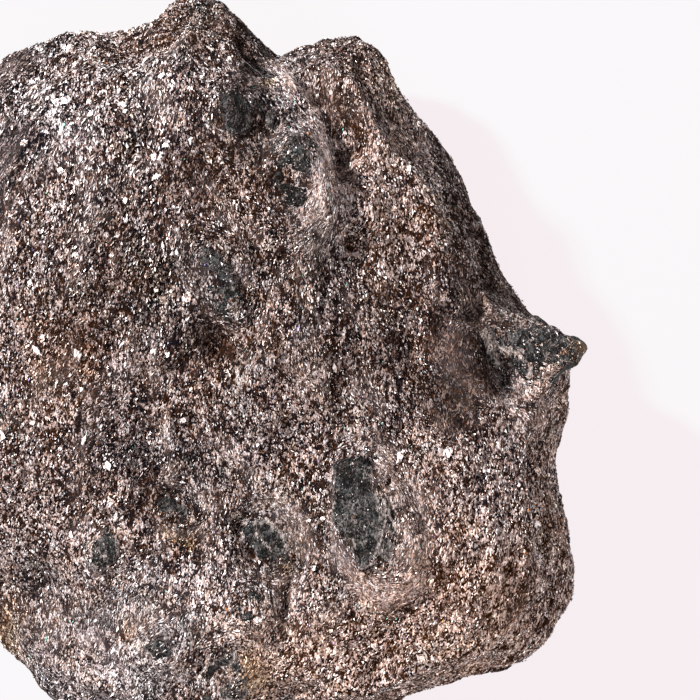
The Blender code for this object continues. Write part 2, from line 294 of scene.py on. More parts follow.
def spotWeight(places, centre, reach, turn=0):
    turn = math.radians(turn)
    x, y = places[:, 0] - centre[0], places[:, 1] - centre[1]
    along = x * math.cos(turn) + y * math.sin(turn)
    across = y * math.cos(turn) - x * math.sin(turn)
    return np.exp(-((along / reach[0]) ** 2) - (across / reach[1]) ** 2)


def spotsOn(places, spots):
    # the strongest of these spots at each place; a spot's turn stands last, where it has one
    total = np.zeros(len(places))
    for centre, reach, amount, *turn in spots:
        total = np.maximum(total, amount * spotWeight(places, centre, reach, *turn))
    return total


def linesOn(places, lines, widened=1.0):
    # the strongest of these lines at each place
    total = np.zeros(len(places))
    for points, width, amount in lines:
        total = np.maximum(total, amount * lineWeight(places, points, widened * width))
    return total


def sideways(places, height, wave, seed):
    # how far a smooth noise moves these places east and north
    east, north = wavyNoise(places, wave, seed), wavyNoise(places, wave, seed + 1)
    return height * np.stack([east, north, 0 * east], 1)


# tones over the block, partly the mica's own and partly painted: painted shade on slopes and in pits and
# hollows where shade falls, and painted light on slopes that face away from the lamp; centre, reach and how
# much lighter, or darker where it is less than 0, then how much warmer and the turn, where they aren't 0
toneAndPaintedShadeSpots = (
    ((-20, 22), (8, 12), -0.1, -0.2), ((-17, 23), (3, 3), 0.3, -0.1), ((-8, 23.5), (4, 3), 0.2),
    ((-9, 18), (6, 8), -0.1), ((-15, 25), (8, 7), 0.15), ((-4.5, 18), (3, 4), -0.3),
    ((0, 34), (4, 3), -0.5), ((1.6, 30.5), (1.2, 2.6), -0.5, 0.2, 20), ((0, 21), (5, 7), -0.2, 0, 20),
    ((3, 15), (2.5, 3), 0.3), ((10.5, 18.5), (1.6, 4), 0.35), ((15.5, 26), (3, 4), 0.35),
    ((15, 20), (5, 10), 0.15, 0.1), ((14, 14), (3, 3), 0.3), ((24.5, 10), (2.6, 6), -0.2, 0.1, 20),
    ((-21, 14.5), (3, 4), 0.4), ((-11, 10), (4, 4), -0.35, 0.3), ((-16, 4.5), (4, 3), -0.2, 0.3),
    ((12, 3.5), (7, 4), 0.15), ((19, 4.5), (7, 3), -0.2), ((21, -2), (4, 4), -0.3, 0, 30),
    ((23, 1.5), (2.2, 5), -0.35, 0, 20), ((4, -1), (5, 4), 0.3), ((-1.5, 1.9), (2.4, 2.3), -0.6, 0.15),
    ((6.5, -6.5), (2.5, 5), 0.35), ((4.5, -6), (5, 3), 0.15), ((-1, -9), (3, 3), 0.25),
    ((24, -10.5), (4, 4), 0.3, 0.1), ((19, -9), (2.5, 2.5), 0.3, 0.1), ((31, -8), (4, 6), 0.15, 0.1),
    ((29, -3), (3, 3), 0.35), ((25.3, 1.2), (1.3, 2.6), -0.4), ((27.1, -1.1), (1.1, 1.4), -0.7, -0.5),
    ((-1, -13), (3, 4), 0.2), ((-21, -15), (4, 7), 0.35), ((-14, -17), (5, 4), 0.15, -0.1),
    ((-18, -12), (7, 5), 0.05), ((-7.8, -12.3), (1.8, 3.4), -0.3, 0, 10), ((-9.3, -15.4), (5, 2.4), -0.1),
    ((-22.5, -24.5), (1.6, 3), -0.4, 0.2), ((-19.3, -21.8), (1.3, 1.3), -0.5),
    ((-12, -27), (12, 6), 0.3, -0.3), ((-8, -21), (5, 2.5), 0.3, -0.1), ((-6, -25), (6, 2.5), 0.3, -0.1),
    ((-14, -31), (6, 3), 0.5, -0.1), ((-8, -31), (14, 4), 0.2), ((4, -29), (4, 5), 0.65, 0.1),
    ((-10.3, -26), (1.2, 1.2), -0.5, 0.3), ((14, -28), (12, 7), 0.35, 0.2), ((29, -19), (8, 9), 0.35, 0.2),
    ((22, -21), (6, 5), 0.35, 0.15), ((23, -29), (6, 3), 0.35, 0.15), ((31, -17), (2.5, 3), 0.35, 0.15),
    ((29, -26), (4, 4), 0.3, 0.15), ((28.7, -23.5), (2.2, 1.8), -0.8, 0.1),
    ((34, -12), (2.5, 12), 0.2, 0.2), ((-21, 18), (4, 6), -0.25), ((10.5, 19.5), (1.6, 4), 0.3),
    ((16, 24), (3, 6), 0.25, 0.1), ((-3, 16), (4, 4), -0.15), ((-16, 0.5), (5, 4), -0.2, 0.1),
    ((14, 0), (3, 4), -0.25), ((22.5, -9.5), (3, 3), 0.3), ((-0.5, -24.5), (2.5, 2.5), 0.35),
    ((3, -30), (3.5, 4), 0.3, 0.1), ((14, -28), (3, 3), 0.3, 0.1), ((24, -28), (4, 4), 0.25, 0.1),
    ((30.5, -16.5), (2, 3), 0.3), ((22.5, -18.5), (3, 3), 0.3), ((-11, -31), (4, 3), 0.4),
    ((31, 0), (3, 3), 0.25), ((0.4, 25.9), (1.5, 2.5), -0.4), ((4.4, 25.2), (2.4, 1.0), -0.4, 0, -52),
    ((5.3, 17.7), (2.8, 1.1), -0.4, 0, -58), ((-3.4, 9.8), (2.4, 0.9), -0.3, 0, -76),
    ((-4.3, -28.8), (1.6, 2.2), 0.5), ((2.0, -23.5), (1.4, 2.4), 0.25), ((31.0, 2.1), (1.1, 0.7), -0.4),
    ((-14.6, -21.3), (0.3, 0.8), -0.7), ((29.7, 4.9), (0.5, 0.5), -0.7), ((1.6, 33.5), (1.5, 2), 0.3),
    ((-21.3, 30.7), (2.5, 2.5), -0.4), ((12, 15), (2.4, 3), -0.2), ((-17.3, 26.7), (2.5, 2.5), 0.3),
    ((-21.3, 22.7), (2.5, 3), -0.25), ((-13.3, 11), (2.5, 6), -0.25), ((-2.2, 26.5), (1.2, 2.5), 0.4),
    ((-3.3, 22.7), (4, 2), -0.22), ((6.7, 26.7), (1.5, 2), 0.3), ((6.9, 22.5), (2, 3), 0.35),
    ((7.2, 18.5), (2, 2.5), 0.35), ((11.4, 17.5), (1.5, 3.5), 0.65), ((18.7, 25), (2, 3.5), 0.6),
    ((14.7, 17), (2, 3), 0.3), ((30.7, 6.7), (2, 2), 0.35), ((31, -1.6), (2.2, 2.5), 0.4),
    ((22.7, -1.3), (2, 2), -0.4), ((22.7, -5.3), (2, 2), -0.35), ((22.7, 2.7), (2, 2), -0.2),
    ((14.7, 6.7), (2, 1.8), -0.3), ((6.7, -5.3), (2, 2), 0.25), ((6.7, -17.3), (1.5, 2), -0.2),
    ((-21, -13), (3, 5), 0.15), ((-5.3, -6.5), (2, 3), 0.2), ((-1.3, -25.3), (2, 2), 0.75),
    ((2.7, -29.3), (2, 2), 0.4), ((3, -32.5), (4, 2), 0.4), ((-5.3, -29.3), (2, 2), 0.3),
    ((26.7, -17.3), (2.5, 4), 0.3), ((22, -20), (8, 8), 0.2), ((18, -29.5), (7, 2.5), 0.35),
    ((-1.3, 26.7), (1.5, 2.5), 0.2), ((10.7, 18.7), (1.5, 2.5), 0.4), ((28.5, 7.5), (2.5, 2), 0.3),
    ((30.7, 2.7), (2.5, 2.5), 0.3), ((31.5, -1.3), (2, 2.5), 0.4), ((-3, 18.7), (2, 2), -0.2),
    ((-8.5, -5.3), (2.5, 2), -0.25), ((22, -5), (2.5, 2.5), -0.2), ((3, -31), (4, 3), 0.75),
    ((7.5, -31), (2, 3), 0.3), ((31.5, -14), (2, 4), 0.35), ((-5, -33), (4, 2), 0.3),
    ((-21, 18), (2, 3), -0.2), ((26, -19), (8, 9), 0.2), ((14, -29), (12, 4), 0.2),
    ((9.5, 19), (2, 3), 0.3), ((-1.3, 30), (2, 4), 0.2), ((13, 31), (3, 2), -0.25),
    ((10.7, -17.3), (1.2, 3), -0.2), ((-0.5, -24.8), (2, 2), 0.2), ((8.9, 17.5), (2, 3.5), 0.4),
    ((13.5, 18.5), (2.5, 2), 0.3), ((18.7, 22.5), (2, 2.5), 0.3), ((26.7, 6.7), (2, 2), 0.35),
    ((31, 3), (2, 2), 0.3), ((9.5, 14.5), (1.8, 2.5), 0.3), ((14.5, 14.8), (2.5, 2), 0.2),
    ((-22, 31), (3, 3), -0.2), ((10.3, 19), (2, 4), 0.2), ((6.7, 23.5), (2, 4), 0.2),
    ((2.7, 7), (3, 3), 0.3), ((2, 14), (4, 4), 0.2), ((30.5, 7), (2.5, 4), 0.3),
    ((22.5, 1), (2.5, 3), -0.15), ((10, -17), (2, 3), -0.2), ((-2, -25), (3, 3), 0.35),
    ((4, -32.5), (5, 2.5), 0.5), ((-15, -32), (3, 2.5), 0.5), ((31, -27), (3, 3), 0.3),
)
# painted shade along dark lines in the creases and cracks between ridges, and painted light along one ridge:
# points, width and how much lighter
paintedLightAndShadeLines = (
    (((6.7, 28.9), (8.1, 26.9), (9.7, 23.9), (10.7, 21.3), (10.7, 18.9)), 0.6, -0.6),
    (((1.0, 32.5), (1.8, 29.5), (3.0, 27.6)), 0.6, -0.5),
    (((5.3, -20.2), (4.9, -21.1), (4.9, -22.4), (4.5, -24.2), (3.3, -25.7)), 0.3, -0.7),
    (((-0.2, -14.8), (0.7, -16.9), (1.1, -18.8)), 0.35, -0.6),
    (((24.2, 0.5), (25.7, -2.0), (27.5, -4.5), (29.9, -5.8)), 0.3, -0.6),
    (((-3.3, 7.6), (-2.3, 5.2), (-2.9, 2.2)), 0.5, -0.4),
    (((21.5, -6.2), (25.5, -6.0), (28.5, -8.2)), 0.4, -0.4),
    (((-9.2, -6.5), (-8.4, -11.5)), 0.6, -0.35),
    (((13.7, -10.0), (14.4, -12.0)), 0.3, -0.5),
    (((4.9, 29.6), (6.1, 27.7), (7.7, 25.6), (8.9, 23.1), (9.5, 20.7)), 1.1, 1.3),
    (((9.9, 26.2), (11.0, 23.2), (11.9, 20.6)), 1.0, -0.7),
    (((12.6, 26.4), (13.1, 22.6)), 1.0, -0.4),
    (((10.6, 19.6), (10.3, 17.7), (9.8, 14.8), (9.4, 12.2)), 0.35, -0.6),
)
# smooth bands of fine pale mica: points, width and amount
filmBands = (
    (((4.3, 30.1), (6.1, 27.7), (7.7, 25.6), (8.9, 23.1), (9.5, 20.7), (9.0, 17.5), (8.4, 14.5),
      (7.9, 12.0)), 1.25, 1.0),
    (((24.7, 3.7), (26.7, 1.7), (27.9, 1.5), (29.7, 0.2)), 0.3, 0.8),
    (((26.2, 0.9), (26.0, -0.8), (26.6, -2.4), (28.0, -3.0), (29.3, -2.2), (29.7, -0.7)), 0.35, 0.6),
    (((13.9, -11.3), (15.2, -15.5), (16.7, -19.3)), 0.55, 0.9),
    (((15.6, -10.3), (17.7, -14.5), (18.3, -19.0), (17.0, -22.3)), 1.2, 1.0),
    (((10.6, -18.6), (12.4, -21.6), (15.4, -23.2), (18.6, -21.0)), 1.2, 0.95),
    (((10.2, -10.3), (9.9, -15.3), (10.5, -18.8)), 0.4, 0.7),
    (((4.7, -13.8), (6.7, -17.3), (7.2, -20.8)), 0.9, 0.75),
    (((-6.3, -4.5), (-6.2, -8.0), (-5.9, -12.0)), 0.45, 0.8),
    (((26.0, -0.6), (27.0, -3.3), (29.0, -4.6), (31.5, -6.1)), 0.6, 0.6),
    (((-2.8, -15.5), (-2.5, -18.5)), 0.2, 0.7),
    (((4.2, -15.5), (6.3, -17.9), (7.3, -20.0)), 0.3, 0.9),
    (((-14.5, -18.0), (-13.6, -16.8), (-12.8, -16.1)), 0.25, 0.9),
)
# patches of the same mica and of the stains: centre, reach, amount and turn; a few of the mica patches
# also paint light on slopes that face away from the lamp
filmAndPaintedLightSpots = (
    ((-12, -27), (11, 4.5), 0.65), ((2.5, 26.7), (0.9, 1.3), 0.7, -10), ((0.8, -31), (1.6, 3.2), 0.8, -20),
    ((28, 5.5), (3.0, 1.6), 0.6, -20), ((31.2, -4.5), (2.2, 3.5), 0.6, -20), ((31, -1), (2.2, 2.2), 0.6),
    ((28.3, -1.3), (0.5, 0.5), 0.9), ((29.1, -2.6), (0.5, 0.5), 0.9), ((27.8, 1.6), (0.7, 0.4), 0.9),
    ((-3, -13), (1.5, 3), 0.4, 20), ((8.5, 13.5), (1.8, 2.6), 0.7), ((14, 24), (2.0, 4.2), 0.5, 10),
    ((10.9, 17.8), (1.3, 3.2), 0.55), ((18.5, 22.5), (1.6, 3), 0.45, 20),
)
blueSpots = (
    ((-3.5, 35.6), (1.4, 1.6), 0.8), ((-4.3, -9), (1.2, 2.2), 0.7), ((0.5, 6.5), (1.3, 2.6), 0.7, 20),
    ((2.5, 22), (3, 5), 0.35), ((3.4, 26.1), (2.2, 1.4), 0.8, -40), ((27.5, 5), (3, 2), 0.5),
    ((25.3, 1.4), (1.2, 2.5), 0.8), ((-4.5, -15), (1.5, 1.8), 0.4), ((8.0, 12.5), (1.8, 2.6), 0.5),
    ((5.2, -15.5), (1.5, 3.5), 0.6, 20), ((1.5, -23.5), (2, 4), 0.4),
)
ochreSpots = (
    ((2.2, -30.4), (1.7, 2.4), 0.55), ((-6.5, 8.8), (2.2, 2.4), 0.3), ((4.2, 28.2), (0.5, 0.5), 0.8),
    ((-3.5, -17.3), (0.7, 0.6), 0.9), ((34.8, 1.6), (1.0, 1.2), 0.7), ((-5.0, -16.8), (1.8, 1.0), 0.4),
    ((-10.3, -25.8), (1.0, 0.9), 0.4), ((-22.3, -27), (1.2, 4), 0.6), ((5.0, -20.0), (0.6, 1.2), 0.6),
)
# how strong the looks are that run through the whole rock
spread = {
    "shade": 0.16, "fineShade": 0.14, "warmth": 0.25, "fineWarmth": 0.15, "film": 0.35, "blue": 0.4,
    "ochre": 0.12, "crystalBlue": 0.45,
}


def zoneLooks(places, normals, bearing):
    # shade, warmth, film, blue and ochre at these places
    facingUp = smoothStep(0.0, 0.5, normals[:, 2])
    stray = sideways(places, 0.9, 2.7, 1) + sideways(places, 0.3, 0.9, 3)
    strayed = places + stray
    shade = spread["shade"] * streaked(places, bearing, 3.4, 3, 4)
    shade += spread["fineShade"] * streaked(places, bearing, 1.5, 4, 2.5)
    warmth = spread["warmth"] * wavyNoise(places, 7, 7) + spread["fineWarmth"] * wavyNoise(places, 2, 8)
    film = spread["film"] * smoothStep(0.15, 0.75, streaked(places, bearing, 1.9, 14, 3.5))
    blue = spread["blue"] * smoothStep(0.35, 0.9, streaked(places, bearing, 2.4, 15, 2.0))
    ochre = spread["ochre"] * smoothStep(0.4, 0.95, streaked(places, bearing, 1.4, 16, 0.7))
    # the mica's own tones, with painted shade and painted light, from the spots
    for centre, reach, lighter, *others in toneAndPaintedShadeSpots:
        warmer, turn = (*others, 0, 0)[:2]
        weight = spotWeight(strayed, centre, reach, turn) * facingUp
        shade += lighter * weight
        warmth += warmer * weight
    # painted shade in creases and cracks, and painted light along one ridge
    for points, width, lighter in paintedLightAndShadeLines:
        shade += lighter * lineWeight(places + 0.5 * stray, points, width) * facingUp
    film = np.maximum(film, linesOn(places + 0.35 * stray, filmBands))
    # pale mica, and in a few of these spots painted light on slopes that face away from the lamp
    film = np.maximum(film, spotsOn(strayed, filmAndPaintedLightSpots))
    blue = np.maximum(blue, spotsOn(strayed, blueSpots))
    ochre = np.maximum(ochre, spotsOn(strayed, ochreSpots))
    for crystal in crystals.values():
        rho = roundCrystal(crystal, places)[0]
        toFilm = towardFilm(crystal, places) / np.maximum(rho, 0.2)
        wrap = crystal["wrap"] * smoothStep(-1.1, 0.9, toFilm)
        film = np.maximum(film, wrap * np.exp(-(((rho - 1.15) / 0.24) ** 2)))
        around = np.exp(-((rho / 1.1) ** 4)) * (1 - 0.6 * film)
        blue = np.maximum(blue, spread["crystalBlue"] * around)
    film = film * facingUp * smoothStep(-0.9, 0.2, wavyNoise(places, 1.7, 9))
    return np.tanh(shade), warmth, film, blue * facingUp, ochre * facingUp


def setZones(mesh, zones, glint):
    shade, warmth, film, blue, ochre = zones
    setPointVector(mesh, "zoneLook", np.stack([shade, warmth, film], 1))
    # blue and ochre stains, and the painted glint
    setPointVector(mesh, "zoneStainAndGlint", np.stack([blue, ochre, glint], 1))


def newGroup(name, inputs, outputs):
    # the inputs are numbers, and so are the outputs but for Colour
    group = bpy.data.node_groups.new(name, "ShaderNodeTree")
    for socketName, start in inputs.items():
        socket = group.interface.new_socket(socketName, in_out="INPUT", socket_type="NodeSocketFloat")
        socket.default_value = start
    for socketName in outputs:
        kind = "NodeSocketColor" if socketName == "Colour" else "NodeSocketFloat"
        group.interface.new_socket(socketName, in_out="OUTPUT", socket_type=kind)
    return group, group.nodes.new("NodeGroupInput").outputs, group.nodes.new("NodeGroupOutput").inputs


def setInput(tree, socket, value):
    if isinstance(value, bpy.types.NodeSocket):
        tree.links.new(value, socket)
    else:
        socket.default_value = value


def addNode(tree, kind, settings=None, inputs=(), **values):
    # inputs by their order, or by their names
    node = tree.nodes.new("ShaderNode" + kind)
    for key, value in (settings or {}).items():
        setattr(node, key, value)
    for number, value in enumerate(inputs):
        if value is not None:
            setInput(tree, node.inputs[number], value)
    for key, value in values.items():
        setInput(tree, node.inputs[key], value)
    return node


def maths(tree, operation, first, second=0.0, clamp=False, third=0.0):
    settings = {"operation": operation, "use_clamp": clamp}
    return addNode(tree, "Math", settings, (first, second, third)).outputs[0]


def plus(tree, first, second):
    return maths(tree, "ADD", first, second)


def times(tree, first, second, clamp=False):
    return maths(tree, "MULTIPLY", first, second, clamp)


def vectorMaths(tree, operation, first, second=None, scale=None):
    return addNode(tree, "VectorMath", {"operation": operation}, (first, second, None, scale)).outputs[0]


def mixed(tree, share, first, second, way="MIX"):
    settings = {"data_type": "RGBA", "blend_type": way}
    return addNode(tree, "Mix", settings, (share, None, None, None, None, None, first, second)).outputs[2]


def tinted(tree, colour, tint):
    return mixed(tree, 1.0, colour, tint, "MULTIPLY")


def remapped(tree, value, low, high, toLow=0.0, toHigh=1.0):
    settings = {"interpolation_type": "SMOOTHSTEP"}
    return addNode(tree, "MapRange", settings, (value, low, high, toLow, toHigh)).outputs[0]


def ramp(tree, value, stops, sudden=False):
    node = addNode(tree, "ValToRGB", None, (value,))
    elements = node.color_ramp.elements
    while len(elements) < len(stops):
        elements.new(1.0)
    for element, (position, colour) in zip(elements, stops):
        element.position = position
        element.color = (*colour, 1)
    if sudden:
        node.color_ramp.interpolation = "CONSTANT"
    return node.outputs[0]


def grey(tree, level):
    return addNode(tree, "CombineColor", None, (level, level, level)).outputs[0]


# from black biotite to silver mica, and the painted glints of colour in a few flakes
micaStops = (
    (0.0, (0.002, 0.0007, 0.0003)), (0.2, (0.022, 0.0125, 0.0095)), (0.42, (0.147, 0.107, 0.096)),
    (0.7, (0.286, 0.23, 0.218)), (0.88, (0.45, 0.395, 0.382)), (1.0, (0.86, 0.81, 0.79)),
)
paintedGlintStops = ((0.0, (1, 1, 1)), (0.2, (0.35, 1.0, 0.85)), (0.45, (1.3, 0.62, 0.25)), (0.75, (0.75, 0.6, 1.3)))
micaTints = {
    "film": ((0.12, 0.09, 0.083, 1), (0.48, 0.388, 0.362, 1)),  # from dark to light flakes
    "warmth": ((0.96, 1.0, 1.06, 1), (1.16, 0.94, 0.8, 1)),  # from cool to warm
    "cast": ((0.0, 0.002, 0.005, 1), (0.026, 0.0085, 0.0008, 1)),  # the same, and shows in dark mica
    "blue": (0.55, 0.66, 0.7, 1),
    "ochre": (1.15, 0.95, 0.53, 1),
}


def buildMicaColour():
    # the colour of mica from black to silver, then filmed over, warmed, stained and shaded
    group, take, give = newGroup(
        "micaColour",
        {"Tone": 0.5, "Shade": 0.0, "Warmth": 0.0, "Blue": 0.0, "Ochre": 0.0, "Film": 0.0, "Glint": 0.0},
        ("Colour", "Roughness"),
    )
    # a shade over 0 lifts the tone, and one under 0 cuts it
    light = maths(group, "MULTIPLY_ADD", maths(group, "MAXIMUM", take["Shade"], 0.0), 1.6, third=1.0)
    dark = plus(group, 1.0, times(group, maths(group, "MINIMUM", take["Shade"], 0.0), 0.75))
    lift = maths(group, "DIVIDE", 1.0, light)
    tone = maths(group, "POWER", maths(group, "MAXIMUM", take["Tone"], 0.0), lift)
    tone = times(group, tone, dark, clamp=True)
    colour = ramp(group, tone, micaStops)
    filmColour = mixed(group, tone, *micaTints["film"])
    colour = mixed(group, times(group, take["Film"], 0.7, clamp=True), colour, filmColour)
    warm = remapped(group, take["Warmth"], -0.5, 0.9)
    colour = tinted(group, colour, mixed(group, warm, *micaTints["warmth"]))
    cast = mixed(group, warm, *micaTints["cast"])
    colour = mixed(group, 1.0, colour, cast, "ADD")
    colour = mixed(group, take["Blue"], colour, tinted(group, colour, micaTints["blue"]))
    colour = mixed(group, take["Ochre"], colour, tinted(group, colour, micaTints["ochre"]))
    # painted glints: a few flakes tinted teal, orange and violet
    colour = tinted(group, colour, ramp(group, take["Glint"], paintedGlintStops, sudden=True))
    level = grey(group, plus(group, 1.0, times(group, take["Shade"], 0.3)))
    setInput(group, give["Colour"], tinted(group, colour, level))
    rough = remapped(group, tone, 0.1, 0.95, 0.55, 0.32)
    setInput(group, give["Roughness"], plus(group, rough, times(group, take["Film"], 0.12)))
    return group


def buildGrains():
    # crystal grains drawn out along the layers: a random value for each, and their relief
    group, take, give = newGroup(
        "mineralGrains",
        {"Scale": 5000.0, "Stretch": 0.6, "Wander": 0.6},
        ("Grains", "Fibres", "Hues", "Height"),
    )
    where = addNode(group, "TexCoord").outputs["Object"]
    squeeze = addNode(group, "CombineXYZ", None, (1.0, take["Stretch"], 1.0)).outputs[0]
    where = vectorMaths(group, "MULTIPLY", where, squeeze)
    half = times(group, take["Scale"], 0.5)
    stray = addNode(group, "TexNoise", Vector=where, Scale=half, Detail=1.0).outputs["Color"]
    stray = vectorMaths(group, "SUBTRACT", stray, (0.5, 0.5, 0.5))
    stray = vectorMaths(group, "SCALE", stray, scale=maths(group, "DIVIDE", take["Wander"], take["Scale"]))
    bent = vectorMaths(group, "ADD", where, stray)
    # small grains and large ones, and clouds over both
    small = addNode(group, "TexVoronoi", Vector=bent, Scale=take["Scale"])
    large = addNode(group, "TexVoronoi", Vector=bent, Scale=times(group, take["Scale"], 0.42))
    smallValue, hues, _ = addNode(group, "SeparateColor", None, (small.outputs["Color"],)).outputs
    setInput(group, give["Hues"], hues)
    largeValue = addNode(group, "SeparateColor", None, (large.outputs["Color"],)).outputs[0]
    clouds = addNode(group, "TexNoise", Vector=where, Scale=times(group, take["Scale"], 0.2), Detail=2.0)
    value = plus(group, times(group, smallValue, 0.5), times(group, largeValue, 0.3))
    value = plus(group, value, times(group, clouds.outputs["Fac"], 0.6))
    setInput(group, give["Grains"], remapped(group, value, 0.35, 1.05))
    along = vectorMaths(group, "MULTIPLY", bent, (1.0, 0.35, 1.0))
    fibres = addNode(group, "TexNoise", Vector=along, Scale=times(group, take["Scale"], 1.1), Detail=2.0)
    setInput(group, give["Fibres"], remapped(group, fibres.outputs["Fac"], 0.35, 0.65))
    height = maths(group, "SUBTRACT", value, times(group, small.outputs["Distance"], 0.7))
    height = maths(group, "SUBTRACT", height, times(group, large.outputs["Distance"], 0.5))
    setInput(group, give["Height"], height)
    return group


def contour(group, noise, width):
    # 1 where the noise is near its middle value: thin wandering lines
    away = maths(group, "ABSOLUTE", maths(group, "SUBTRACT", noise, 0.5))
    return remapped(group, away, 0.0, width, 1.0, 0.0)


def buildVeins():
    # wandering pale veins, and cloudy patches between them
    group, take, give = newGroup(
        "veinedClouds",
        {"Scale": 700.0, "Width": 0.05, "Wander": 0.4},
        ("Veins", "Clouds", "Height"),
    )
    where = addNode(group, "TexCoord").outputs["Object"]
    noise = {"Vector": where, "Detail": 4.0, "Roughness": 0.6, "Distortion": take["Wander"]}
    first = addNode(group, "TexNoise", Scale=take["Scale"], **noise).outputs["Fac"]
    shifted = vectorMaths(group, "ADD", where, (0.37, 0.11, 0.23))
    noise["Vector"] = shifted
    second = addNode(group, "TexNoise", Scale=times(group, take["Scale"], 1.9), **noise).outputs["Fac"]
    stray = addNode(group, "TexNoise", Vector=where, Scale=times(group, take["Scale"], 1.5)).outputs["Color"]
    stray = vectorMaths(group, "SCALE", stray, scale=maths(group, "DIVIDE", 0.9, take["Scale"]))
    cells = {"Vector": vectorMaths(group, "ADD", where, stray), "Scale": times(group, take["Scale"], 1.3)}
    walls = addNode(group, "TexVoronoi", {"feature": "DISTANCE_TO_EDGE"}, **cells).outputs["Distance"]
    walls = remapped(group, walls, 0.0, 0.11, 1.0, 0.0)
    broken = addNode(group, "TexNoise", Vector=shifted, Scale=times(group, take["Scale"], 0.8)).outputs["Fac"]
    veins = maths(group, "MAXIMUM", contour(group, first, take["Width"]), walls)
    veins = times(group, veins, remapped(group, broken, 0.42, 0.6))
    setInput(group, give["Veins"], veins)
    clouds = plus(group, times(group, first, 0.6), times(group, second, 0.4))
    setInput(group, give["Clouds"], remapped(group, clouds, 0.34, 0.66))
    setInput(group, give["Height"], plus(group, clouds, times(group, veins, 0.15)))
    return group


micaColour, mineralGrains, veinedClouds = buildMicaColour(), buildGrains(), buildVeins()


def place(tree, group, **values):
    node = tree.nodes.new("ShaderNodeGroup")
    node.node_tree = group
    for key, value in values.items():
        setInput(tree, node.inputs[key], value)
    return node.outputs


def newMaterial(name, plain):
    material = bpy.data.materials.new(name)
    material.use_nodes = True
    tree = material.node_tree
    shader = tree.nodes["Principled BSDF"]
    for key, value in plain.items():
        shader.inputs[key].default_value = value
    return material, tree, shader


def attribute(tree, name):
    vector = addNode(tree, "Attribute", {"attribute_name": name}).outputs["Vector"]
    return addNode(tree, "SeparateXYZ", None, (vector,)).outputs


def zonesOf(tree):
    # what setZones wrote, by the names of the micaColour group's inputs, and the glint
    shade, warmth, film = attribute(tree, "zoneLook")
    blue, ochre, glint = attribute(tree, "zoneStainAndGlint")
    return {"Shade": shade, "Warmth": warmth, "Film": film, "Blue": blue, "Ochre": ochre}, glint


def bumped(tree, shader, height, strength, distance):
    bump = addNode(tree, "Bump", Strength=strength, Distance=distance, Height=height)
    setInput(tree, shader.inputs["Normal"], bump.outputs[0])


def speckled(tree, tone, grains, amount):
    # a tone with the grains' own lights and darks on it
    return plus(tree, tone, times(tree, maths(tree, "SUBTRACT", grains, 0.5), amount))


def flakeMaterial():
    look = {
        "grains": 7800.0, "speckle": 1.5, "fibres": 0.25, "hues": 1.1, "bump": 0.7, "relief": 0.00007,
        "brownSideAndShade": 0.3,
    }
    material, tree, shader = newMaterial("mica_flakes", {"Specular IOR Level": 0.08})
    tone, silver, rim = attribute(tree, "flakeLook")
    zones, glint = zonesOf(tree)
    fine = place(tree, mineralGrains, Scale=look["grains"], Stretch=0.5, Wander=0.9)
    tone = speckled(tree, tone, fine["Grains"], look["speckle"])
    tone = speckled(tree, tone, fine["Fibres"], look["fibres"])
    zones["Warmth"] = speckled(tree, zones["Warmth"], fine["Hues"], look["hues"])
    mica = place(tree, micaColour, Tone=tone, Glint=glint, **zones)
    # the flake darkens toward its tip in the rock: partly the browner edge of the mica, partly painted shade
    edge = grey(tree, remapped(tree, rim, 0.1, 1.0, look["brownSideAndShade"], 1.0))
    setInput(tree, shader.inputs["Base Color"], tinted(tree, mica["Colour"], edge))
    setInput(tree, shader.inputs["Metallic"], silver)
    setInput(tree, shader.inputs["Roughness"], mica["Roughness"])
    bumped(tree, shader, fine["Height"], look["bump"], look["relief"])
    return material


def schistMaterial():
    look = {
        "fine": 7200.0, "coarse": 2600.0, "toneLow": -0.1, "toneHigh": 0.85, "hues": 1.1, "bump": 1.0,
        "relief": 0.0002,
    }
    material, tree, shader = newMaterial("mica_schist", {"Specular IOR Level": 0.02})
    zones, _ = zonesOf(tree)
    fine = place(tree, mineralGrains, Scale=look["fine"], Stretch=0.6, Wander=0.9)
    coarse = place(tree, mineralGrains, Scale=look["coarse"], Stretch=0.5, Wander=0.9)
    share = maths(tree, "MULTIPLY_ADD", coarse["Grains"], 0.6, third=0.45)
    tone = times(tree, fine["Grains"], share)
    tone = remapped(tree, tone, 0.1, 1.0, look["toneLow"], look["toneHigh"])
    zones["Warmth"] = speckled(tree, zones["Warmth"], fine["Hues"], look["hues"])
    mica = place(tree, micaColour, Tone=tone, **zones)
    setInput(tree, shader.inputs["Base Color"], mica["Colour"])
    setInput(tree, shader.inputs["Roughness"], mica["Roughness"])
    bumped(tree, shader, plus(tree, fine["Height"], coarse["Height"]), look["bump"], look["relief"])
    return material


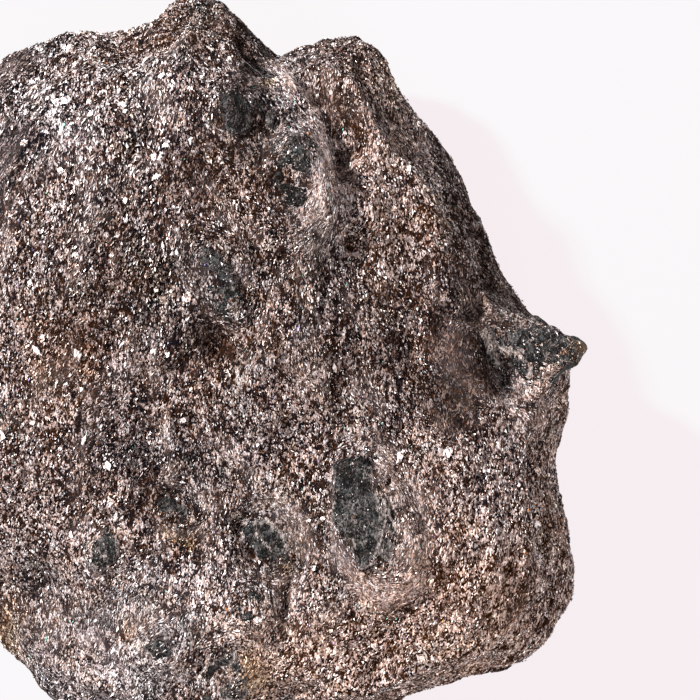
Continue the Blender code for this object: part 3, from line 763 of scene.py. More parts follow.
def alexandriteMaterial():
    look = {
        "fine": 1200.0, "coarse": 480.0, "grains": 7000.0, "bump": 1.0, "relief": 0.00018,
        "dark": (0.0035, 0.0031, 0.003, 1), "slate": (0.042, 0.0385, 0.0375, 1),
        "blue": (0.036, 0.0405, 0.042, 1), "vein": (0.17, 0.15, 0.145, 1), "film": (0.31, 0.258, 0.242, 1),
        "thread": (0.43, 0.365, 0.342, 1), "rust": (0.16, 0.09, 0.045, 1), "knob": (0.2, 0.155, 0.135, 1),
    }
    material, tree, shader = newMaterial("alexandrite", {"Specular IOR Level": 0.06})
    film, knob, rust = attribute(tree, "crystalLook")
    fine = place(tree, veinedClouds, Scale=look["fine"], Width=0.02, Wander=0.6)
    coarse = place(tree, veinedClouds, Scale=look["coarse"], Width=0.025, Wander=1.0)
    grains = place(tree, mineralGrains, Scale=look["grains"], Stretch=0.7, Wander=0.9)
    body = mixed(tree, remapped(tree, coarse["Clouds"], 0.3, 0.75), look["slate"], look["blue"])
    cloud = plus(tree, times(tree, fine["Clouds"], 0.75), times(tree, coarse["Clouds"], 0.35))
    cloud = remapped(tree, speckled(tree, cloud, grains["Grains"], 0.7), 0.32, 1.08)
    colour = mixed(tree, cloud, look["dark"], body)
    veins = maths(tree, "MAXIMUM", times(tree, fine["Veins"], 0.6), coarse["Veins"])
    veins = speckled(tree, times(tree, veins, 0.45), grains["Grains"], 0.25)
    colour = mixed(tree, remapped(tree, veins, 0.06, 0.85), colour, look["vein"])
    streaks = speckled(tree, speckled(tree, film, grains["Fibres"], 0.4), fine["Clouds"], 0.4)
    streaks = remapped(tree, speckled(tree, streaks, grains["Grains"], 0.3), 0.3, 1.1)
    mica = mixed(tree, remapped(tree, film, 0.85, 1.35), look["film"], look["thread"])
    colour = mixed(tree, streaks, colour, mica)
    colour = mixed(tree, rust, colour, look["rust"])
    colour = tinted(tree, colour, mixed(tree, knob, (1, 1, 1, 1), look["knob"]))
    setInput(tree, shader.inputs["Base Color"], colour)
    setInput(tree, shader.inputs["Roughness"], remapped(tree, streaks, 0.0, 1.0, 0.5, 0.66))
    height = plus(tree, fine["Height"], times(tree, grains["Height"], 0.7))
    bumped(tree, shader, height, look["bump"], look["relief"])
    return material


micaFlakes, micaSchist, alexandrite = flakeMaterial(), schistMaterial(), alexandriteMaterial()
print("materials made")


def remeshed(places, faces, voxel):
    rough = newObject("rough", meshOf("rough", places, faces))
    fuse = rough.modifiers.new("fuse", "REMESH")
    fuse.mode = "VOXEL"
    fuse.voxel_size = voxel * mm
    graph = bpy.context.evaluated_depsgraph_get()
    result = arraysOf(rough.evaluated_get(graph).to_mesh())
    bpy.data.objects.remove(rough)
    return result


def welded(node, swell=0.0):
    # a node's corners welded and, if asked, moved out along their normals
    shape = bmesh.new()
    shape.from_mesh(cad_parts[node].data)
    bmesh.ops.remove_doubles(shape, verts=shape.verts, dist=1e-6)
    mesh = bpy.data.meshes.new(node + "_copy")
    shape.to_mesh(mesh)
    shape.free()
    places, faces = arraysOf(mesh)
    bpy.data.meshes.remove(mesh)
    return places + swell * vertexNormals(places, faces), faces


def gapTo(places, nodes, reach):
    # distance to the nearest of these nodes, reach where none is near
    gap = np.full(len(places), reach)
    for node in nodes:
        corners, faces = welded(node)
        tree = BVHTree.FromPolygons([Vector(p) for p in corners], faces.tolist())
        near = np.flatnonzero(((places > corners.min(0) - reach) & (places < corners.max(0) + reach)).all(1))
        for index in near:
            found = tree.find_nearest(Vector(places[index]), reach)[3]
            if found is not None:
                gap[index] = min(gap[index], found)
    return gap


rock = {
    "voxel": 0.62,
    "swell": 0.36,  # crystals are swelled by this, so that no gap is left round them
    "rounds": 5,
    "inset": 0.2,  # the flakes make up for it
    # wave, height and reach along the grain
    "waves": ((4.2, 0.5, 5.0), (2.3, 0.26, 3.5), (1.2, 0.11, 2.0), (0.7, 0.08, 1.0)),
    "layers": ((2.1, 0.5), (0.9, 0.32), (0.5, 0.14)),  # wave and height
    "pitDepth": 0.28,
    "filmCalm": 0.75,  # how much flatter it is under a film of mica
    "lowest": 0.02,
}
# lines of the relief: points, width and how deep, or how high where it is less than 0
creases = (
    (((6.9, 29.2), (8.4, 26.8), (10.0, 23.7), (10.9, 21.0), (10.9, 19.0)), 0.6, 0.5),
    (((4.9, 29.6), (6.1, 27.7), (7.7, 25.6), (8.9, 23.1), (9.7, 20.7)), 0.8, -0.6),
    (((1.2, 32.4), (2.2, 29.0)), 0.8, 0.5),
    (((5.9, -19.3), (5.2, -24.3)), 0.4, 0.5),
    (((-6.3, -4.5), (-6.2, -8.0), (-5.9, -12.0)), 0.5, -0.35),
    (((-9.5, -8.5), (-8.6, -12.0)), 0.8, 0.5),
    (((-19.5, -21.0), (-19.2, -22.8)), 0.7, 0.7),
    (((-14.8, -18.2), (-15.0, -21.8)), 0.4, 0.45),
    (((9.7, -10.5), (9.5, -15.0), (10.0, -18.5)), 0.35, 0.35),
    (((13.9, -11.3), (15.2, -15.5), (16.7, -19.3)), 0.45, -0.2),
    (((15.2, -10.2), (17.0, -14.5), (18.0, -18.5)), 1.1, -0.8),
    (((2.4, 27.3), (2.9, 23.5)), 0.8, -0.7),
)


def buildRock():
    parts = [welded("mica_schist")] + [welded(node, rock["swell"]) for node in crystals]
    offsets = np.cumsum([0] + [len(places) for places, _ in parts[:-1]])
    places = np.concatenate([p for p, _ in parts])
    faces = np.concatenate([f + offset for (_, f), offset in zip(parts, offsets)])
    places, faces = remeshed(places, faces, rock["voxel"])
    places = smoothed(places, faces, rock["rounds"])
    gap = gapTo(places, crystals, 1.4)
    values, faces = finerOnTop(np.column_stack([places, gap]), faces, 0.5)
    places, gap = values[:, :3], values[:, 3]
    normals = softNormals(places, faces, 5)
    sunk = bareCrystal(places) * (1 - smoothStep(0.7, 1.2, gap))
    bearing = grainBearing(places)
    steep = smoothStep(0.3, 0.8, 1 - np.abs(normals[:, 2]))
    resting = smoothStep(0.0, 1.2, places[:, 2])  # nothing changes where it rests
    # relief along the grain, the edges of the layers on the steep sides, and pits
    push = np.zeros(len(places))
    for number, (wave, height, reach) in enumerate(rock["waves"]):
        push += height * streaked(places, bearing, wave, 20 + number, reach)
    for number, (wave, height) in enumerate(rock["layers"]):
        push += height * steep * (wavyNoise(sheets(places), wave, 30 + number) - 0.3)
    push -= rock["pitDepth"] * smoothStep(0.35, 0.8, streaked(places, bearing, 1.6, 40, 0.8))
    film = zoneLooks(places, normals, bearing)[2]
    push *= 1 - rock["filmCalm"] * film
    strayed = places + sideways(places, 0.3, 1.2, 41)
    for points, width, depth in creases:
        push -= depth * lineWeight(strayed, points, width) * smoothStep(0.1, 0.5, normals[:, 2])
    push = push * resting * (1 - 1.4 * sunk) - sunk - rock["inset"] * resting * (1 - 1.6 * sunk)
    places = places + push[:, None] * normals
    places[:, 2] = np.maximum(places[:, 2], rock["lowest"])
    mesh = meshOf("schist_rock", places, faces, smooth=True)
    setZones(mesh, zoneLooks(places, normals, bearing), np.zeros(len(places)))
    dress("schist_rock", mesh, micaSchist, "mica_schist", "mica_schist")
    print("rock made,", len(faces), "triangles")
    normals = softNormals(places, faces, 3)
    return {"places": places, "faces": faces, "normals": normals, "sunk": sunk}


ground = buildRock()

crystalShape = {
    "voxel": 0.27, "rounds": 4, "waves": ((2.4, 0.24), (1.1, 0.18), (0.6, 0.1)), "threadHeight": 0.05,
    "knobDepth": 0.1,
}
# dark knobs, rusty spots and pale ones on the crystals: centre, reach, amount and turn
knobs = (
    ((11.1, -10.2), (0.7, 1.0), 0.9), ((12.5, -9.0), (0.9, 0.4), 0.8, -20),
    ((13.6, -11.7), (0.9, 0.8), 0.8), ((11.0, -13.2), (0.6, 0.9), 0.5), ((13.1, -18.4), (0.9, 0.6), 0.8),
    ((16.5, -17.2), (0.35, 0.5), 0.9, 20), ((16.3, -14.4), (0.35, 0.6), 0.9, 10),
    ((14.8, -19.1), (0.35, 0.6), 0.7, 20), ((17.0, -13.3), (0.5, 0.4), 0.7),
    ((11.5, -17.6), (0.5, 0.5), 0.8), ((13.2, -14.6), (0.8, 0.6), 0.4), ((27.0, -1.8), (0.9, 0.9), 1.0),
    ((28.0, -0.6), (0.7, 0.6), 0.7), ((31.0, 2.1), (1.0, 0.6), 0.7), ((25.0, 1.4), (0.8, 1.9), 0.6, 10),
    ((0.4, 25.9), (1.3, 2.3), 0.55), ((4.4, 25.2), (2.2, 0.9), 0.75, -52),
    ((5.3, 17.7), (2.7, 1.0), 0.85, -58), ((7.9, 21.6), (0.5, 0.9), 0.5),
    ((-3.4, 9.8), (2.2, 0.8), 0.8, -76), ((-0.5, 5.1), (0.7, 0.7), 0.75),
    ((-14.0, -18.3), (0.4, 0.9), 0.8, 20), ((-12.4, -17.1), (0.6, 0.4), 0.6, -30),
    ((-12.5, -19.6), (0.3, 0.3), 0.8), ((-6.7, -13.4), (0.9, 0.4), 0.8, -60),
    ((-5.1, -15.1), (0.9, 0.4), 0.8, -35), ((-6.4, -14.8), (0.4, 0.5), 0.5),
    ((2.5, -20.6), (0.6, 0.3), 0.8), ((4.2, -18.6), (0.35, 0.3), 0.8), ((1.2, -17.4), (0.4, 1.3), 0.6, 10),
    ((-2.6, -30.8), (1.4, 3.2), 0.85, -10), ((2.9, -24.9), (0.4, 0.3), 0.6),
    ((-7.6, -28.3), (1.2, 0.8), 0.4),
)
rusts = (
    ((11.4, -17.5), (0.6, 0.6), 0.25), ((34.9, 1.9), (0.6, 0.6), 0.6), ((-3.4, -17.0), (0.3, 0.5), 0.7),
    ((2.6, -30.4), (0.8, 1.5), 0.35), ((5.1, -19.9), (0.35, 0.5), 0.7), ((12.0, -14.7), (0.12, 0.12), 0.9),
)
pales = (
    ((-12.5, -18.8), (0.35, 0.35), 1.0), ((28.2, -1.6), (0.35, 0.35), 0.7),
    ((29.4, -2.6), (0.35, 0.3), 0.9), ((12.4, -13.8), (0.13, 0.13), 1.2), ((27.7, 1.9), (0.35, 0.3), 0.9),
    ((29.7, 2.7), (0.4, 0.3), 0.6), ((13.1, -10.9), (0.25, 0.2), 0.7),
    ((12.5, -9.8), (0.6, 0.35), 0.35, -20), ((14.6, -16.5), (0.6, 0.5), 0.4),
    ((15.2, -18.2), (1.5, 1.3), 0.5, -30), ((13.4, -16.8), (1.5, 1.1), 0.3, -40),
    ((2.5, 26.3), (0.45, 1.3), 0.6, -10), ((1.7, -18.1), (0.45, 0.3), 0.8),
    ((2.3, -20.0), (0.45, 0.25), 0.8), ((-6.0, -14.3), (0.5, 0.3), 0.45, -30),
    ((-5.8, -16.2), (1.2, 0.6), 0.6, -20), ((2.4, -16.5), (0.2, 0.3), 1.2),
    ((1.2, 8.3), (1.4, 2.5), 0.35, -70), ((7.6, 21.0), (0.3, 0.8), 0.6, 20),
    ((-0.2, -28.2), (0.9, 1.2), 0.6), ((1.9, -29.6), (1.0, 2.4), 0.9), ((-0.8, -26.6), (1.2, 0.9), 0.8),
)
# threads of mica across the crystals, raised a little: points, width and amount
threads = (
    (((13.7, -9.9), (13.9, -11.0), (14.6, -12.1), (15.1, -13.3), (15.5, -14.5), (16.1, -15.6),
      (16.8, -16.5), (17.3, -17.4), (17.3, -18.4), (16.9, -19.5)), 0.16, 1.0),
    (((15.1, -11.0), (15.4, -12.1), (15.6, -13.2), (16.5, -14.4), (17.4, -15.5), (18.1, -16.4)), 0.15, 0.9),
    (((15.1, -13.3), (15.2, -14.6), (15.0, -15.8), (14.5, -17.7), (15.0, -18.4), (15.5, -19.1),
      (15.5, -19.9)), 0.13, 0.8),
    (((14.5, -17.7), (14.1, -18.6), (13.8, -19.4), (12.9, -19.9)), 0.13, 0.8),
    (((16.2, -15.8), (15.8, -17.0), (16.0, -18.0), (16.6, -18.6)), 0.13, 0.7),
    (((12.8, -13.9), (13.5, -14.0), (14.1, -13.9), (15.0, -13.5)), 0.1, 0.6),
    (((11.0, -14.8), (12.0, -14.9), (12.6, -16.0), (12.2, -16.9)), 0.13, 0.45),
    (((11.1, -17.0), (11.9, -17.0), (12.2, -17.6), (11.8, -18.3), (11.0, -18.1)), 0.12, 0.6),
    (((12.8, -9.6), (13.4, -10.6), (12.4, -11.4)), 0.2, 0.35),
    (((26.5, 2.0), (27.5, 1.4), (28.2, 1.4), (29.2, 0.5), (29.7, 0.0), (29.5, -1.0)), 0.16, 0.9),
    (((26.2, 0.6), (26.0, -0.8), (26.1, -2.6), (27.3, -3.2), (29.0, -3.3)), 0.2, 0.6),
    (((-14.5, -18.0), (-13.6, -16.8), (-12.8, -16.1)), 0.2, 0.9),
    (((-11.5, -16.3), (-11.3, -18.6), (-11.8, -20.6)), 0.2, 0.7),
    (((3.2, -14.8), (4.9, -16.6), (6.0, -18.6), (6.3, -20.6)), 0.22, 0.9),
    (((2.0, -15.1), (2.9, -16.8), (3.8, -18.0), (4.0, -19.8)), 0.13, 0.7),
    (((-0.8, -27.4), (0.3, -28.0), (0.2, -29.2), (-0.6, -30.0)), 0.16, 0.7),
    (((-1.8, -26.6), (-0.6, -28.6)), 0.14, 0.6),
    (((6.9, 22.8), (7.9, 20.8), (8.0, 19.4)), 0.15, 0.6),
    (((7.1, 21.0), (6.3, 19.5)), 0.15, 0.5),
)
# where the crystals are worn back: centre, reach and depth
chips = (
    ((35.9, 0.2), (1.3, 1.3), 0.8), ((35.6, 2.6), (0.8, 0.8), 0.35), ((33.0, 3.6), (0.8, 0.8), 0.3),
    ((27.1, -1.4), (1.1, 1.2), 0.8),
)


def buildCrystal(node, crystal):
    places, faces = remeshed(*welded(node), crystalShape["voxel"])
    places, faces = finerOnTop(smoothed(places, faces, crystalShape["rounds"]), faces, 0.4)
    normals = softNormals(places, faces, 3)
    push = np.zeros(len(places))
    for number, (wave, height) in enumerate(crystalShape["waves"]):
        push += height * crystal["rough"] * wavyNoise(places, wave, 50 + number)
    strayed = places + sideways(places, 0.12, 0.9, 62)
    thread = linesOn(strayed, threads, 1.6) * (0.85 + 0.3 * wavyNoise(places, 0.8, 64))
    knob, pale, rust = (spotsOn(strayed, spots) for spots in (knobs, pales, rusts))
    push += crystalShape["threadHeight"] * thread - crystalShape["knobDepth"] * knob
    places = places + (push - spotsOn(places, chips))[:, None] * normals
    rho, along, across = roundCrystal(crystal, places)
    lapped = rho * 0.7 + 0.45 * towardFilm(crystal, places) + 0.35 * wavyNoise(places, 1.6, 60)
    lapped = smoothStep(0.3, 1.3, lapped)
    strands = wavyNoise(np.stack([along / 4, across + 0.04 * along**2, places[:, 2] / 2], 1), 0.7, 61)
    film = crystal["film"] * np.clip(1.15 * lapped + 0.35 * smoothStep(0.1, 0.7, strands), 0, 1.2)
    film = np.maximum(film * (1 - knob), np.maximum(pale, 1.25 * thread))
    film = np.maximum(film, 0.8 * linesOn(places, filmBands, 0.6))
    mesh = meshOf(crystal["piece"], places, faces, smooth=True)
    setPointVector(mesh, "crystalLook", np.stack([film, knob, rust], 1))
    dress(crystal["piece"], mesh, alexandrite, "alexandrite", node)
    crystal["surface"] = (places, faces, normals)
    crystal["lapped"] = film
    return len(faces)


crystalFaces = sum(buildCrystal(node, crystal) for node, crystal in crystals.items())
print("crystals made,", crystalFaces, "triangles")


def scatter(places, faces, normals, weights, count):
    a, b, c = (places[faces[:, corner]] for corner in range(3))
    area = np.linalg.norm(np.cross(b - a, c - a), axis=1) * weights[faces].mean(1)
    face = draw.choice(len(faces), count, p=area / area.sum())
    u, v = draw.random(count), draw.random(count)
    over = u + v > 1
    u[over], v[over] = 1 - u[over], 1 - v[over]
    share = np.stack([1 - u - v, u, v], 1)[:, :, None]
    corners = faces[face]
    return (places[corners] * share).sum(1), unit((normals[corners] * share).sum(1))


def turned(first, second, angle):
    # two ways at right angles, turned by an angle in their plane
    cos, sin = np.cos(angle)[:, None], np.sin(angle)[:, None]
    return first * cos + second * sin, second * cos - first * sin


# how flakes stray: their bearing in radians, the spread of their lengths, and how they change where the mica
# is in patches, coarse, bright, glinting or a film
laying = {
    "kept": 0.74, "keptInPatch": 0.3, "keptInFilm": 0.3, "patchLift": 0.14, "bearing": 0.27, "sizes": 0.38,
    "size": 0.74, "coarseSize": 0.62, "brightSlim": (0.55, 1.0), "largeShare": 0.25, "coarseLarge": 0.2,
    "large": 1.6, "glintSize": 0.65, "filmLength": 1.6, "filmCalm": 0.6, "filmFlat": 0.8,
}
# the outline of a flake: how far its corners stray round it, out of it and off its plane, and its tip below
flakeShape = {"cornerTurn": 0.32, "cornerReach": (0.65, 1.1), "cornerLift": 0.08, "tipStray": 0.2}


def flakeFrames(normals, bearing, film, style):
    # the ways along, across and up from each flake
    count = len(normals)
    layer = np.where((normals @ layerUp)[:, None] < 0, -layerUp, layerUp)
    up = unit(normals * (1 - style["layering"]) + layer * style["layering"])
    bearing = bearing + draw.normal(0, laying["bearing"], count) * (1 - laying["filmCalm"] * film)
    along = np.stack([np.cos(bearing), np.sin(bearing), np.zeros(count)], 1)
    trace = unit(np.cross(normals, layer))  # where the layers crop out on a steep side
    steep = smoothStep(0.6, 0.3, np.abs(normals[:, 2]))[:, None]
    along = along * (1 - steep) + np.where((trace * along).sum(1, keepdims=True) < 0, -trace, trace) * steep
    along = unit(along - up * (along * up).sum(1, keepdims=True))
    across = np.cross(up, along)
    calm = 1 - laying["filmFlat"] * film
    up, across = turned(up, across, draw.normal(0, style["tilt"][0], count) * calm)
    up, along = turned(up, along, draw.normal(0, style["tilt"][1], count) * calm)
    return along, across, up


def flakeMesh(name, batch, corners=4):
    # each flake is a thin plate with a cut rim, which narrows to a point in the rock
    spots, normals, (along, across, up) = batch["spots"], batch["normals"], batch["frames"]
    length, width, depth, rise = batch["length"], batch["width"], batch["depth"], batch["rise"]
    count = len(spots)
    stray, many = flakeShape["cornerTurn"], (count, corners)
    turn = (np.arange(corners) + draw.uniform(-stray, stray, many)) * fullTurn / corners
    reach = draw.uniform(*flakeShape["cornerReach"], many)
    x = (np.cos(turn) * reach * length[:, None] / 2)[:, :, None]
    y = (np.sin(turn) * reach * width[:, None] / 2)[:, :, None]
    z = (draw.normal(0, flakeShape["cornerLift"], many) * width[:, None])[:, :, None]
    rim = spots[:, None] + x * along[:, None] + y * across[:, None] + z * up[:, None]
    proud = ((rim - spots[:, None]) * normals[:, None]).sum(2)
    rim = rim - np.maximum(proud - rise, 0)[:, :, None] * normals[:, None]  # no flake stands far out
    stray = flakeShape["tipStray"]
    tip = spots - up * depth[:, None] + along * draw.uniform(-stray, stray, count)[:, None] * length[:, None]
    places = np.concatenate([rim, tip[:, None]], 1)
    places[:, :, 2] = np.maximum(places[:, :, 2], lowestFlake)
    top = [(0, k, k + 1) for k in range(1, corners - 1)]
    sides = [((k + 1) % corners, k, corners) for k in range(corners)]
    pattern = np.array(top + sides)
    faces = (np.arange(count)[:, None, None] * (corners + 1) + pattern).reshape(-1, 3)
    mesh = meshOf(name, places.reshape(-1, 3), faces)
    look = np.zeros((count, corners + 1, 3))
    look[:, :, 0], look[:, :, 1] = batch["tone"][:, None], batch["silver"][:, None]
    # 1 on the rim and 0 at the tip, where the material paints the flake darker, partly as painted shade
    look[:, :corners, 2] = 1.0
    setPointVector(mesh, "flakeLook", look.reshape(-1, 3))
    zones = [np.repeat(zone, corners + 1) for zone in batch["zones"]]
    setZones(mesh, zones, np.repeat(batch["glint"], corners + 1))
    layOutFlakes(mesh, count, corners, pattern)
    return mesh


def layOutFlakes(mesh, count, corners, pattern):
    # a map with one square for each flake, its rim in the middle and its sides folded out
    columns = math.ceil(math.sqrt(count))
    squares = np.stack([np.arange(count) % columns, np.arange(count) // columns], 1) + 0.5
    angles = np.arange(corners) * fullTurn / corners
    rim = 0.24 * np.stack([np.cos(angles), np.sin(angles)], 1)
    star = []
    for face in pattern:
        middle = angles[face[1]] + fullTurn / corners / 2
        tip = 0.46 * np.array([math.cos(middle), math.sin(middle)])
        star += [tip if corner == corners else rim[corner] for corner in face]
    spots = (squares[:, None] + np.array(star)) / columns
    layer = mesh.uv_layers.new(name="OFBake")
    layer.uv.foreach_set("vector", spots.astype(np.float32).ravel())


# sizes in mm and angles in radians: how many, their length, width as a share of it, tilt across and along,
# lift off the rock, the most that a corner stands out, how far they follow the layers and not the surface,
# and whether the close patches of mica stand higher
flakes = {
    "top": {
        "count": 26500, "length": 0.4, "slim": (0.15, 0.45), "tilt": (0.46, 0.28), "lift": (-0.14, 0.16),
        "rise": 0.2, "layering": 0.12, "patchy": True,
    },
    "flank": {
        "count": 19000, "length": 0.55, "slim": (0.3, 0.8), "tilt": (0.3, 0.2), "lift": (-0.14, 0.08),
        "rise": 0.1, "layering": 0.5, "patchy": False,
    },
    "under": {
        "count": 4500, "length": 0.9, "slim": (0.4, 0.9), "tilt": (0.16, 0.12), "lift": (0.0, 0.05),
        "rise": 0.1, "layering": 0.0, "patchy": False,
    },
    "onCrystals": {
        "count": 9500, "length": 0.27, "slim": (0.4, 0.9), "tilt": (0.45, 0.35), "lift": (-0.07, 0.06),
        "rise": 0.14, "layering": 0.0, "patchy": False,
    },
}
spare = 1.36  # so many times as many are laid, because the loose patches are then left open
lowestFlake = 0.01


def coarseness(places):
    # the mica is coarser on the upper left
    return spotWeight(places, (-15, 22), (14, 13))


# where more of the flakes are bright, pale mica with a painted glint: centre, reach, how many more and turn
brightMicaAndGlintSpots = (
    ((-15, 22), (14, 13), 0.8), ((7.5, -5), (3.5, 3.5), 0.7), ((21, -12), (7, 6), 0.4, -40),
    ((-21, -3), (4, 12), 0.4), ((-8, -28), (12, 6), 0.4), ((27, -22), (7, 7), 0.3), ((0, 13), (3, 4), 0.4),
)
# tones from 0 for black to 1 for silver: of most flakes, of the dark ones, of the bright ones, whose pale
# colour is partly a painted glint, and in a film
tones = {
    "middle": 0.562, "patch": 0.1, "streak": 0.13, "stray": 0.09, "dark": (0.02, 0.3), "darkShare": 0.26,
    "bright": (0.76, 1.02), "brightShare": 0.02, "film": (0.6, 0.16), "filmShare": 0.88, "silverShare": 0.3,
    "silver": (0.2, 0.9), "glintShare": 0.015,
}


def flakeLooks(spots, bearing, film, patch, darker):
    count = len(spots)
    sparkle = spotsOn(spots, brightMicaAndGlintSpots)
    streak = streaked(spots, bearing, 0.5, 83, 1.5)
    tone = tones["middle"] + tones["patch"] * patch + tones["streak"] * streak * (1 - 0.4 * film)
    tone = tone + draw.normal(0, tones["stray"], count)
    dark = draw.random(count) < tones["darkShare"] - 0.2 * patch - 0.1 * streak - 0.04 * sparkle
    tone = np.where(dark, draw.uniform(*tones["dark"], count), tone)
    # bright flakes: pale mica, their high tone partly a painted glint
    bright = draw.random(count) < (tones["brightShare"] + 0.04 * sparkle) * (1 + 0.7 * patch)
    tone = np.where(bright, draw.uniform(*tones["bright"], count) - 0.12 * sparkle, tone)
    filmTone = draw.normal(*tones["film"], count)
    tone = tone * (1 - tones["filmShare"] * film) + tones["filmShare"] * film * filmTone
    tone = tone * (1 - darker * (1 - film))
    silver = np.where(draw.random(count) < tones["silverShare"], draw.uniform(*tones["silver"], count), 0.05)
    silver = np.where(bright, 0.1, silver) * (1 - 0.6 * film)
    # a few flakes get a painted coloured glint
    glint = np.where(draw.random(count) < tones["glintShare"], draw.uniform(0.2, 1.0, count), 0.0)
    return np.clip(tone, 0, 1.1), silver, glint, bright


def layFlakes(style, spots, normals, darker=0.0):
    # the loose patches are left open
    bearing = grainBearing(spots)
    patch = clumps(spots, bearing)
    steep = smoothStep(0.6, 0.3, np.abs(normals[:, 2]))
    patch = patch * (1 - steep) + steep * np.tanh(2.2 * wavyNoise(sheets(spots), 0.55, 84))
    zones = np.array(zoneLooks(spots, normals, bearing))
    share = laying["kept"] + laying["keptInPatch"] * patch + laying["keptInFilm"] * zones[2]
    kept = draw.random(len(spots)) < share
    spots, normals, bearing, patch = spots[kept], normals[kept], bearing[kept], patch[kept]
    zones = zones[:, kept]
    count, film, coarse = len(spots), zones[2], coarseness(spots)
    tone, silver, glint, bright = flakeLooks(spots, bearing, film, patch, darker)
    lift = draw.uniform(*style["lift"], count) + laying["patchLift"] * patch * style["patchy"]
    length = style["length"] * np.exp(draw.normal(0, laying["sizes"], count))
    length *= laying["size"] + laying["coarseSize"] * coarse
    slim = np.where(bright, draw.uniform(*laying["brightSlim"], count), draw.uniform(*style["slim"], count))
    more = laying["coarseLarge"] * coarse
    large = bright & (draw.random(count) < laying["largeShare"] + more)
    length *= np.where(large, laying["large"] + more, 1.0) * np.where(glint > 0, laying["glintSize"], 1.0)
    calm = 1 - laying["filmCalm"] * film
    return {
        "spots": spots + (lift * calm)[:, None] * normals,
        "normals": normals,
        "frames": flakeFrames(normals, bearing, film, style),
        "length": length * (1 + laying["filmLength"] * film),
        "width": length * slim * calm,
        "depth": (0.25 + 0.35 * draw.random(count)) * style["length"],
        "rise": style["rise"],
        "tone": tone,
        "silver": silver,
        "glint": glint,
        "zones": zones,
    }


# white plates, pale mica with a painted highlight on it: place, length, width and bearing
plates = (
    ((-16.3, 31.7), 1.2, 0.8, 60), ((-18.7, 2.9), 1.0, 0.6, 60), ((-19.2, 1.6), 1.2, 0.5, 130),
    ((-15.1, 1.2), 1.1, 0.7, 100), ((10.2, -0.1), 1.0, 0.4, 110), ((21.5, -8.5), 1.2, 0.9, 20),
    ((30.5, -15.8), 0.9, 0.7, 90), ((-22.8, -6.8), 1.3, 0.9, 80), ((-12.3, -9.8), 0.9, 0.7, 90),
    ((-11.5, -14.8), 0.9, 0.5, 90), ((-10.8, 26), 0.8, 0.7, 0), ((16.7, -8.8), 1.5, 0.6, 65),
    ((-4.3, 6.9), 1.1, 0.7, 70), ((2.6, -25), 0.9, 0.6, 0), ((-14.1, 26.2), 0.6, 0.5, 30),
    ((-16.8, 19.4), 0.7, 0.6, 0), ((-20.5, 22.2), 0.8, 0.6, 20), ((-6.5, 21.9), 0.6, 0.5, 0),
    ((-7.5, 18.7), 0.9, 0.5, 40), ((-15.3, 18.2), 0.7, 0.6, 0), ((-11.2, 13), 0.6, 0.5, 0),
    ((-5.8, -21.0), 0.8, 0.6, 0), ((-14.6, -7.2), 0.9, 0.4, 70), ((4.7, -5.8), 0.5, 0.3, 90),
    ((12.1, -15.1), 0.2, 0.15, 0), ((9.0, -15.0), 0.5, 0.4, 0), ((7.6, -15.2), 0.4, 0.3, 0),
    ((15.9, -12.0), 0.3, 0.25, 0), ((14.7, -10.5), 0.25, 0.2, 0), ((27.4, 3.5), 0.6, 0.25, 60),
    ((2.4, -16.5), 0.35, 0.3, 80),
)
# a plate is a pile of bright flakes: their sizes as shares of its own, and how they lie
pile = {"parts": (1.0, 0.9, 0.6, 0.45, 0.4), "size": 1.35, "lift": 0.18, "depth": 0.5, "calm": 0.6,
        "tone": (0.95, 1.1)}


def addPlates(batch):
    # the smaller a flake of the pile is, the farther it lies from the middle
    centres, long, wide, turn = (np.repeat(values, len(pile["parts"]), 0) for values in zip(*plates))
    count = len(centres)
    turn = np.radians(turn)[:, None]
    way, side = np.hstack([np.cos(turn), np.sin(turn)]), np.hstack([-np.sin(turn), np.cos(turn)])
    part = np.tile(pile["parts"], len(plates))
    stray = 0.55 - 0.5 * part
    centres = centres + way * (draw.uniform(-1, 1, count) * stray * long)[:, None]
    centres = centres + side * (draw.uniform(-1, 1, count) * stray * wide)[:, None]
    upward = np.flatnonzero(ground["normals"][:, 2] > 0.3)
    near = [upward[np.argmin(((ground["places"][upward, :2] - centre) ** 2).sum(1))] for centre in centres]
    spots = np.column_stack([centres, ground["places"][near, 2] + draw.uniform(0.0, pile["lift"], count)])
    normals, bearing = ground["normals"][near], turn[:, 0]
    calm = np.full(count, pile["calm"])
    own = {
        "spots": spots,
        "normals": normals,
        "frames": flakeFrames(normals, bearing, calm, flakes["top"]),
        "length": pile["size"] * part * long,
        "width": pile["size"] * part * wide,
        "depth": np.full(count, pile["depth"]),
        "zones": np.zeros((5, count)),
        # near white: pale mica with a painted highlight
        "tone": draw.uniform(*pile["tone"], count),
        "silver": np.zeros(count),
        "glint": np.zeros(count),
    }
    for key, values in own.items():
        if key == "frames":
            batch[key] = [np.concatenate(pair) for pair in zip(batch[key], values)]
        else:
            batch[key] = np.concatenate([batch[key], values], axis=1 if key == "zones" else 0)


def layFlakesPiece(name, styleName, surface, weights, darker=0.0, withPlates=False):
    style = flakes[styleName]
    spots, normals = scatter(*surface, weights, int(style["count"] * spare))
    batch = layFlakes(style, spots, normals, darker)
    if withPlates:
        addPlates(batch)
    mesh = flakeMesh(name, batch)
    dress(name, mesh, micaFlakes, "mica_schist")
    print(name, "made,", len(mesh.polygons), "triangles")


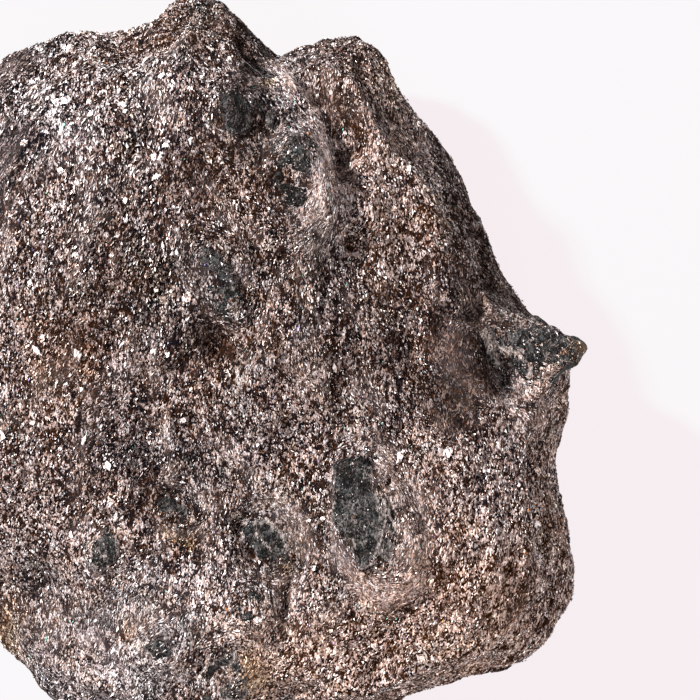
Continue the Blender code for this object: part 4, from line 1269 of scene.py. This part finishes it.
def crystalSurfaces():
    # the crystals' surfaces as one, and how likely a grain is to stick on each point
    offset, places, faces, normals, weights = 0, [], [], [], []
    for crystal in crystals.values():
        spots, corners, ups = crystal["surface"]
        rho = roundCrystal(crystal, spots)[0]
        edge = 0.5 + 0.5 * smoothStep(0.3, 0.95, rho + 0.3 * wavyNoise(spots, 1.3, 70))
        kept = crystal["grains"] * smoothStep(0.1, 0.5, ups[:, 2]) * (1 - 0.5 * spotsOn(spots, knobs))
        weights.append((edge + crystal["lapped"]) * kept)
        places.append(spots)
        faces.append(corners + offset)
        normals.append(ups)
        offset += len(spots)
    return (np.concatenate(places), np.concatenate(faces), np.concatenate(normals)), np.concatenate(weights)


def layAllFlakes():
    surface = ground["places"], ground["faces"], ground["normals"]
    facingUp = ground["normals"][:, 2]
    bare = 1 - 0.85 * smoothStep(0.2, 0.42, ground["sunk"])  # few lie on the rock under a crystal
    onTop = smoothStep(0.15, 0.45, facingUp) * bare
    onFlank = smoothStep(0.6, 0.3, np.abs(facingUp)) * bare
    under = smoothStep(-0.3, -0.7, facingUp)
    for layer in ("under", "middle", "upper"):
        layFlakesPiece(f"mica_flakes_{layer}_layer", "top", surface, onTop, withPlates=layer == "upper")
    layFlakesPiece("mica_flakes_flanks", "flank", surface, onFlank)
    layFlakesPiece("mica_flakes_underside", "under", surface, under)
    layFlakesPiece("mica_grains_on_crystals", "onCrystals", *crystalSurfaces(), darker=0.66)


layAllFlakes()

# in mm: the middle and width of the view, the camera's height, and the level where the view is that wide
view = {"middle": (11.7, 1.7), "width": 70.0, "height": 700.0, "level": 14.0, "sensor": 36.0}
# bearing and rise in degrees, distance and size in m
lamps = {
    "key": {
        "bearing": 143.0, "rise": 38.0, "distance": 0.7, "size": 0.06, "power": 16.7,
        "colour": (1.0, 0.99, 0.98),
    },
    "fill": {
        "bearing": -52.0, "rise": 34.0, "distance": 0.9, "size": 0.5, "power": 7.5,
        "colour": (1.0, 0.96, 0.95),
    },
}
studio = {
    "sky": 0.29, "skyColour": (1.0, 0.96, 0.97, 1), "floorReach": 1.5, "floor": (0.014, 0.038, 0.034, 1),
    "glow": (0.908, 0.822, 0.85, 1),
}


def buildFloor():
    reach = studio["floorReach"]
    corners = [(-reach, -reach, 0), (reach, -reach, 0), (reach, reach, 0), (-reach, reach, 0)]
    mesh = bpy.data.meshes.new("floor")
    mesh.from_pydata(corners, [], [(0, 1, 2, 3)])
    looks = {"Roughness": 0.9, "Specular IOR Level": 0.1, "Base Color": studio["floor"],
             "Emission Color": studio["glow"], "Emission Strength": 1.0}
    mesh.materials.append(newMaterial("floor_paper", looks)[0])
    floor = newObject("floor", mesh)


def addLamp(name, bearing, rise, distance, size, power, colour):
    data = bpy.data.lights.new(name, "AREA")
    data.shape = "DISK"
    data.size = size
    data.energy = power
    data.color = colour
    light = newObject(name, data)
    bearing, rise = math.radians(bearing), math.radians(rise)
    way = Vector((math.cos(bearing) * math.cos(rise), math.sin(bearing) * math.cos(rise), math.sin(rise)))
    light.location = way * distance
    light.rotation_euler = way.to_track_quat("Z", "Y").to_euler()


def lightStudio():
    for name, lamp in lamps.items():
        addLamp(name, **lamp)
    world = bpy.data.worlds.new("studio")
    world.use_nodes = True
    background = world.node_tree.nodes["Background"]
    background.inputs["Color"].default_value = studio["skyColour"]
    background.inputs["Strength"].default_value = studio["sky"]
    bpy.context.scene.world = world


def setView():
    data = bpy.data.cameras.new("camera")
    data.sensor_width = view["sensor"]
    data.lens = view["sensor"] * (view["height"] - view["level"]) / view["width"]
    data.clip_end = 20
    camera = newObject("camera", data)
    camera.location = Vector((*view["middle"], view["height"])) * mm
    bpy.context.scene.camera = camera
    bpy.context.scene.view_settings.view_transform = "Standard"


buildFloor()
lightStudio()
setView()
print("floor, light and camera made")
